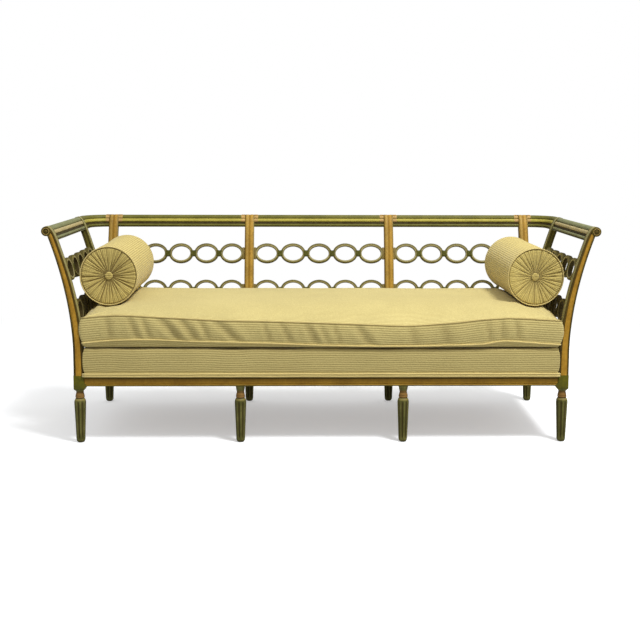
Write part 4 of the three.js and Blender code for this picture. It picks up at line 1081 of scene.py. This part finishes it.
def build_cushion():
    front, back = CUSHION_FRONT, SOFT_BACK

    def seam_z(x, y):
        at_front = smooth(0.20, 0.02, y - front)
        beside = interp(x, [-SOFT_HALF, 0, SOFT_HALF], [0.478, REST_SEAM, 0.472])
        return interp(x, *SEAM) * at_front + beside * (1 - at_front)

    def welt_z(x, y):
        at_front = smooth(0.20, 0.02, y - front)
        return interp(x, *WELT) * at_front + REST_WELT * (1 - at_front)

    def between(share):
        return lambda x, y: welt_z(x, y) * (1 - share) + seam_z(x, y) * share

    def below(share):
        return lambda x, y: CUSHION_BOTTOM + (welt_z(x, y) - CUSHION_BOTTOM) * share

    levels = in_metres(((10.0, 36, 0), (6.2, 26, 0.03), (4.2, 17.5, 0.14), (3.2, 11.5, 0.36), (2.8, 7.0, 0.66),
                        (2.6, 4.6, 1)), below)
    levels += in_metres(((2.0, 2.6, 0.09), (1.2, 1.2, 0.22), (0.6, 0.3, 0.38), (0.4, 0, 0.54), (0.8, 0.5, 0.70),
                         (1.2, 1.4, 0.84), (1.5, 2.4, 0.94), (1.8, 3.2, 1)), between)
    levels.append((0.0038, 0.0062, lambda x, y: seam_z(x, y) + 0.0048))
    columns = eased(-SOFT_HALF, SOFT_HALF, 168, 0.35)
    rows = append(front + array([0, 0.8, 2, 3.5, 5.2, 7, 8.3, 9.2, 10.2, 12, 15.5]) / 1000,
                  eased(front + 0.021, back, 57, 0.5))
    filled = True

    def unfilled(x, y):
        inside = smooth(0, 0.06, SOFT_HALF - abs(x)) * smooth(0, 0.06, y - front) * smooth(0, 0.06, back - y)
        return cushion_top(x, y) - filled * FILL_REACH * inside

    def made(columns, rows):
        return SoftBox(front, back, 0.011, columns, rows, levels, unfilled, below(0))

    box = made(columns, rows)
    x, y, z = box.points.T
    if filled:
        coarse = made(columns[::2], rows[::2])
        held = concatenate([coarse.grids[1].ravel(), *coarse.loops[:LOWER_WELT + 1], coarse.loops[UPPER_SEAM]])
        moves = finer_moves(blown_up(coarse, held), coarse, box)
        size = np.linalg.norm(moves, axis=1)[:, None] + 1e-9
        box.points += moves / size * FILL_REACH * np.tanh(size / FILL_REACH)
        x.clip(-SOFT_HALF, SOFT_HALF, out=x)
        y.clip(front - 0.002, back, out=y)
        top = box.grids[0]
        z[top] = soft_least(z[top], under_bolsters(x[top], y[top]), 0.006)
    # From 0 at the lower welt to 1 at the upper seam
    share = (z - welt_z(x, y)) / (seam_z(x, y) - welt_z(x, y))
    pull_out(x, SOFT_HALF - 0.0012,
             smooth(0.0, -0.12, share) * smooth(0.16, 0.06, y - front) * smooth(0.835, 0.864, abs(x)))
    band = smooth(0.030, 0.006, y - front) * smooth(-0.05, 0.18, share) * smooth(1.06, 0.72, share)
    crease_shade = zeros(len(x))
    for top, bottom, width, depth in FOLDS:
        d = (x - top - (bottom - top) * clip(1 - share, 0, 1)) / width
        beside = 0.55 * exp(-((d - 1.9) / 1.1) ** 2) + 0.4 * exp(-((d + 1.8) / 1.0) ** 2)
        y += band * depth * 1.35 * (exp(-d ** 2) - beside)
        # Painted shade along each fold's valley
        crease_shade += band * 0.30 * exp(-(d * 1.3) ** 2)
        over = smooth(0.15, 0.02, y - front) * (share > 1.0)
        z -= over * depth * 0.55 * (exp(-(d * 0.7) ** 2) - 0.5 * exp(-((d - 1.9) / 1.3) ** 2))
    maximum(y, front - 0.006, out=y)
    lap_over_posts(x, y, interp(share, [-1, -0.3, 0, 0.2, 0.5, 0.8, 1.0, 1.08, 1.3],
                                array([6, 11, 12.5, 16, 19, 18.5, 12.5, 8, 2]) / 1000), 0.825)
    # Painted shade over the front band, between the lower welt and the upper seam
    crease_shade += 0.10 * smooth(0.06, 0.0, y - front) * smooth(-0.2, 0.1, share) * smooth(1.02, 0.9, share)
    soft_piece(box, "seat_cushion_cover", "seat_cushion", "seat_cushion", clip(crease_shade, 0, 0.5))
    lower, upper = box.points[box.loops[LOWER_WELT]], box.points[box.loops[UPPER_SEAM]]
    lower += outward(lower) * 0.0012
    over_post = (abs(lower[:, 0]) > SOFT_HALF + 0.0005) & (lower[:, 1] < -0.015)
    lower[over_post, 1] = minimum(lower[over_post, 1], -POST_HALF - 0.0038)
    welt("seat_cushion_welt_lower", lower, 0.0034, "seat_cushion")
    # Painted shade along the upper seam
    welt("seat_cushion_seam_upper", upper + outward(upper) * 0.0002, 0.0019, "seat_cushion", 0.55)


def blown_up(box, held):
    """How far cloth simulation moves each point of a box of cloth that is filled while the held points stay still."""
    piece = box.piece("filling_trial")
    piece.vertex_groups.new(name="held").add(np.unique(held).tolist(), 1.0, "REPLACE")
    made = piece.modifiers.new("filling", "CLOTH")
    made.settings.vertex_group_mass = "held"
    made.settings.use_pressure = True
    made.settings.uniform_pressure_force = 4.0
    made.settings.effector_weights.gravity = 0.0
    made.collision_settings.use_collision = False
    made.point_cache.frame_start, made.point_cache.frame_end = 1, FILL_FRAMES
    before = np.empty(3 * len(box.points))
    piece.data.vertices.foreach_get("co", before)
    for step in range(1, FILL_FRAMES + 1):
        bpy.context.scene.frame_set(step)
    apply_modifier(piece, made)
    after = np.empty_like(before)
    piece.data.vertices.foreach_get("co", after)
    bpy.context.scene.frame_set(1)
    mesh = piece.data
    bpy.data.objects.remove(piece)
    bpy.data.meshes.remove(mesh)
    return (after - before).reshape(-1, 3)


def finer_moves(moves, coarse, fine):
    """Moves of a coarse box, carried to one with twice as many rows and columns."""
    carried = zeros((len(fine.points), 3))
    for small, large in zip(coarse.grids, fine.grids):
        field = moves[small]
        for _ in range(2):
            wide = repeat(field, 2, 0)[:-1]
            wide[1::2] = (field[:-1] + field[1:]) / 2
            field = wide.swapaxes(0, 1)
        carried[large] = field
    for small, large in zip(coarse.loops, fine.loops):
        carried[large[0::2]] = moves[small]
        carried[large[1::2]] = (moves[small] + np.roll(moves[small], -1, 0)) / 2
    return carried


def outward(loop):
    """Level unit directions out of a closed loop that runs anticlockwise."""
    ahead = np.roll(loop, -1, 0) - np.roll(loop, 1, 0)
    return unit(join(ahead[:, 1], -ahead[:, 0], 0))


# ---------------------------------------------------------------- bolsters

BUTTON_RADIUS = 0.0145
PLEATS = 32
# Painted shade of each end: how dark the pleats' lines, their hollows and the whole end are; the left end is painted
# darker
PLEAT_SHADES = {"left": (1.5, 0.2, 0.08), "right": (1.0, 0.05, 0.0)}


def pleat_field(angles, radii, seed):
    """Height and shadow of gathered pleats at each angle and radius, both from 0 to 1."""
    draw = np.random.default_rng(seed)
    gaps = draw.uniform(0.55, 1.45, PLEATS)
    edges = append(0, np.cumsum(gaps)) / gaps.sum() * 2 * pi
    reach = draw.uniform(0.62, 1.25, PLEATS)
    force = draw.uniform(0.55, 1.0, PLEATS)
    slant = draw.uniform(-0.10, 0.10, PLEATS)
    share = (radii / radii[-1])[:, None]
    wander = np.mod(angles + 0.05 * sin(3 * angles + seed) * share, 2 * pi)
    slot = clip(np.searchsorted(edges, wander, side="right") - 1, 0, PLEATS - 1)
    width = edges[slot + 1] - edges[slot]
    s = (wander - edges[slot]) / width
    arch = sqrt(clip(1 - (2 * s - 1) ** 2, 0, 1))
    edge = where(s < 0.5, slot, (slot + 1) % PLEATS)
    depth = force[edge] * (1 - smooth(reach[edge] - 0.22, reach[edge], share) * 0.55)
    shadow = exp(-(minimum(s, 1 - s) * width * radii[:, None] / 0.0017) ** 2) * depth
    return 1 - (1 - arch) * depth + 0.10 * slant[slot] * s, shadow


def build_bolster(name, seed):
    ax, ay, az, tilt, radius, length, drift = AXES[name]
    count = 272
    angles = around(count)
    disc = linspace(BUTTON_RADIUS * 0.55, radius - 0.0075, 24)
    dark, hollow_shade, end_shade = PLEAT_SHADES[name]

    def end_rows(end_seed):
        """Radius, place along the axis and painted crease shade of each ring, from the button to the rim."""
        height, shadow = pleat_field(angles, disc, end_seed)
        lift = minimum(0.0052, 2 * pi * disc / PLEATS * 0.42)[:, None]
        dish = (0.0085 * (1 - smooth(BUTTON_RADIUS, radius * 0.86, disc)) + 0.0012)[:, None]
        rows = list(zip(disc, dish + lift * (1 - height), clip(shadow * dark + hollow_shade * (1 - height) + end_shade, 0, 1)))
        # Painted shade in a ring just inside the welt
        rows += [(radius - 0.0062, 0.0034, 0.9), (radius - 0.0050, 0.0040, 0.9)]
        for a in linspace(0.15, 1, 6):
            turn = a * pi / 2
            rows.append((radius - 0.0042 * (1 - sin(turn)), 0.0005 + 0.0040 * (1 - cos(turn)) * a, 0))
        return rows

    rows = end_rows(seed)
    for s in linspace(0, 1, 27)[1:-1]:
        y = 0.006 + (length - 0.012) * s
        soft = 0.0014 * sin(pi * s) + 0.0007 * waves(angles * 0.1, y, 0.23, seed + 3)
        rows.append((radius - 0.0006 - soft * 0.8, y, 0))
    rows += [(r, length - y, crease_shade) for r, y, crease_shade in end_rows(seed + 50)[::-1]]
    r, y, crease_shade = (array([broadcast_to(row[part], count) for row in rows]) for part in range(3))
    c, s = cos(tilt), sin(tilt)

    def laid(across, along, up, at):
        """Points of the bolster's own frame, on the axis that drifts with at."""
        return join(ax + drift * at + across, ay + along * c - up * s, az + along * s + up * c)

    points = laid(r * cos(angles), y, r * sin(angles) * BOLSTER_TALL, y).reshape(-1, 3)
    whole_cords = round(2 * pi * radius / CORD_PITCH) * CORD_PITCH
    run = append(0, np.cumsum(np.hypot(np.diff(r[:, 0]), np.diff(y.mean(1)))))
    ring, spin = ring_corners(len(rows) - 1, count)
    ends = zeros(2 * count)
    piece = mesh_piece(f"bolster_{name}_cover", points, ring_faces(len(rows), count), bolster_cloth,
                       CORNER={"across": append(spin / count * whole_cords, ends), "along": append(run[ring], ends)},
                       POINT={"crease_shade": crease_shade.ravel()})
    finish_piece(piece, f"bolster_{name}", "corded_cloth", f"bolster_{name}")
    for end, at, out in (("front", 0.0, -1), ("rear", length, 1)):
        a, rim = around(96), radius - 0.0019
        path = laid(rim * cos(a), at + out * -0.0012, rim * sin(a) * BOLSTER_TALL, at)
        welt(f"bolster_{name}_welt_{end}", path, 0.0021, f"bolster_{name}")
        button(name, end, laid, at, out)


# Share of the radius, height in mm and painted crease shade of each ring of a button, darkest where it sinks into the
# pleats
BUTTON = ((0.55, -6, 0.9), (0.93, -5, 0.8), (1.0, -3.5, 0.6), (1.02, -1.8, 0.4), (0.97, -0.4, 0.16),
          (0.88, 0.4, 0.12), (0.72, 0.9, 0.15), (0.5, 1.2, 0.2), (0.26, 1, 0.28), (0.05, 0.9, 0.3))


def button(name, end, laid, at, out):
    """Covered button, domed, its cloth gathered slightly at the rim."""
    count = 48
    angles = around(count)
    rows = []
    for share, height, _ in BUTTON:
        r = BUTTON_RADIUS * share * (1 + (share > 0.85) * 0.012 * cos(16 * angles))
        rows.append(laid(r * cos(angles), at + out * (height / 1000 - 0.0062), r * sin(angles), at))
    points = vstack(rows)
    faces = ring_faces(len(rows), count)
    across, along = (points - points.mean(0))[concatenate(faces)][:, [2, 0]].T
    piece = mesh_piece(f"bolster_{name}_button_{end}", points, faces, bolster_cloth,
                       CORNER={"across": across, "along": along},
                       POINT={"crease_shade": repeat([crease_shade for _, _, crease_shade in BUTTON], count)})
    finish_piece(piece, f"bolster_{name}", "corded_cloth", f"bolster_{name}_{end}_button")


# ---------------------------------------------------------------- stage

# The photograph's side, the focal length and the row that the lens looks at, in pixels
PHOTO_SIDE, FOCAL, LENS_ROW = 640, 1050, 265.3


def light_seen(tree, *kinds):
    """1 for the kinds of ray that show the background, and 0 for light that falls on the object."""
    rays = [node(tree, "ShaderNodeLightPath", output=f"Is {kind} Ray") for kind in kinds]
    seen = rays[0]
    for ray in rays[1:]:
        seen = maths("MAXIMUM", seen, ray)
    return seen


def build_stage():
    material, tree, shader, place = new_material("pale_floor")
    feed(shader, {"Base Color": (0.42, 0.42, 0.41, 1), "Roughness": 1.0, "Specular IOR Level": 0.0})
    away = node(tree, "ShaderNodeVectorMath", {0: place}, "Value", operation="LENGTH")
    far = node(tree, "ShaderNodeMapRange", {"Value": away, "From Min": 1.5, "From Max": 3.2},
               interpolation_type="SMOOTHSTEP")
    plain = node(tree, "ShaderNodeBsdfDiffuse", {"Color": (0.79, 0.80, 0.82, 1)})
    glow = node(tree, "ShaderNodeEmission", {"Color": (1, 1, 1, 1), "Strength": 0.37})
    near = node(tree, "ShaderNodeAddShader", {0: plain, 1: glow})
    white = node(tree, "ShaderNodeEmission", {"Color": (1, 1, 1, 1), "Strength": 1.0})
    both = node(tree, "ShaderNodeMixShader", {0: far, 1: near, 2: white})
    seen = light_seen(tree, "Camera", "Glossy", "Transmission")
    shown = node(tree, "ShaderNodeMixShader", {0: seen, 1: Value(shader.outputs[0]), 2: both})
    feed(tree.nodes["Material Output"], {"Surface": shown})
    size = 30
    mesh = bpy.data.meshes.new("floor")
    mesh.from_pydata([(-size, -size, 0), (size, -size, 0), (size, size, 0), (-size, size, 0)], [], [(0, 1, 2, 3)])
    mesh.materials.append(material)
    floor = bpy.data.objects.new("floor", mesh)
    bpy.context.scene.collection.objects.link(floor)


def build_world():
    world = bpy.data.worlds.new("studio")
    world.use_nodes = True
    bpy.context.scene.world = world
    tree = world.node_tree
    tree.nodes.clear()
    way = node(tree, "ShaderNodeSeparateXYZ", {0: node(tree, "ShaderNodeTexCoord", output="Generated")}, "Z")
    above = node(tree, "ShaderNodeMapRange",
                 {"Value": way, "From Min": 0.0, "From Max": 1.0, "To Min": 0.26, "To Max": 0.94})
    soft = node(tree, "ShaderNodeBackground", {"Color": (1.0, 1.0, 0.99, 1), "Strength": above})
    white = node(tree, "ShaderNodeBackground", {"Color": (1, 1, 1, 1), "Strength": 1.0})
    both = node(tree, "ShaderNodeMixShader", {0: light_seen(tree, "Camera", "Transmission"), 1: soft, 2: white})
    feed(tree.nodes.new("ShaderNodeOutputWorld"), {"Surface": both})


def lamp(name, place, aim, size, power):
    data = bpy.data.lights.new(name, "AREA")
    data.shape = "RECTANGLE"
    data.size, data.size_y = size
    data.energy = power
    made = bpy.data.objects.new(name, data)
    made.location = place
    made.rotation_euler = (Vector(aim) - Vector(place)).to_track_quat("-Z", "Y").to_euler()
    bpy.context.scene.collection.objects.link(made)


def build_camera():
    data = bpy.data.cameras.new("camera")
    data.sensor_width = 36
    data.lens = FOCAL * data.sensor_width / PHOTO_SIDE
    data.shift_y = (LENS_ROW - PHOTO_SIDE / 2) / PHOTO_SIDE
    data.clip_end = 100
    made = bpy.data.objects.new("camera", data)
    made.location = (-0.076, -4.22033, 1.067)
    made.rotation_euler = (radians(90 - 6), -0.0025, -0.0173)
    bpy.context.scene.collection.objects.link(made)
    bpy.context.scene.camera = made


bpy.context.scene.view_settings.view_transform = "Standard"
build_camera()
build_world()
build_stage()
lamp("key_right", (2.3, -2.6, 5.8), (0.0, 0.0, 0.4), (1.3, 1.3), 350)
lamp("fill_front", (-0.6, -6.0, 2.4), (0.0, 0.0, 0.4), (3.0, 2.0), 12)

beech = raw_wood()
for name in ("seat_board", "cross_bearer_left", "cross_bearer_right", "end_bearer_left", "end_bearer_right"):
    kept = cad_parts[name]
    kept.data.materials.clear()
    kept.data.materials.append(beech)

build_posts()
build_rosettes()
build_crest()
build_galleries()
build_rails()
build_legs()
build_deck()
build_cushion()
build_bolster("left", 11)
build_bolster("right", 18)
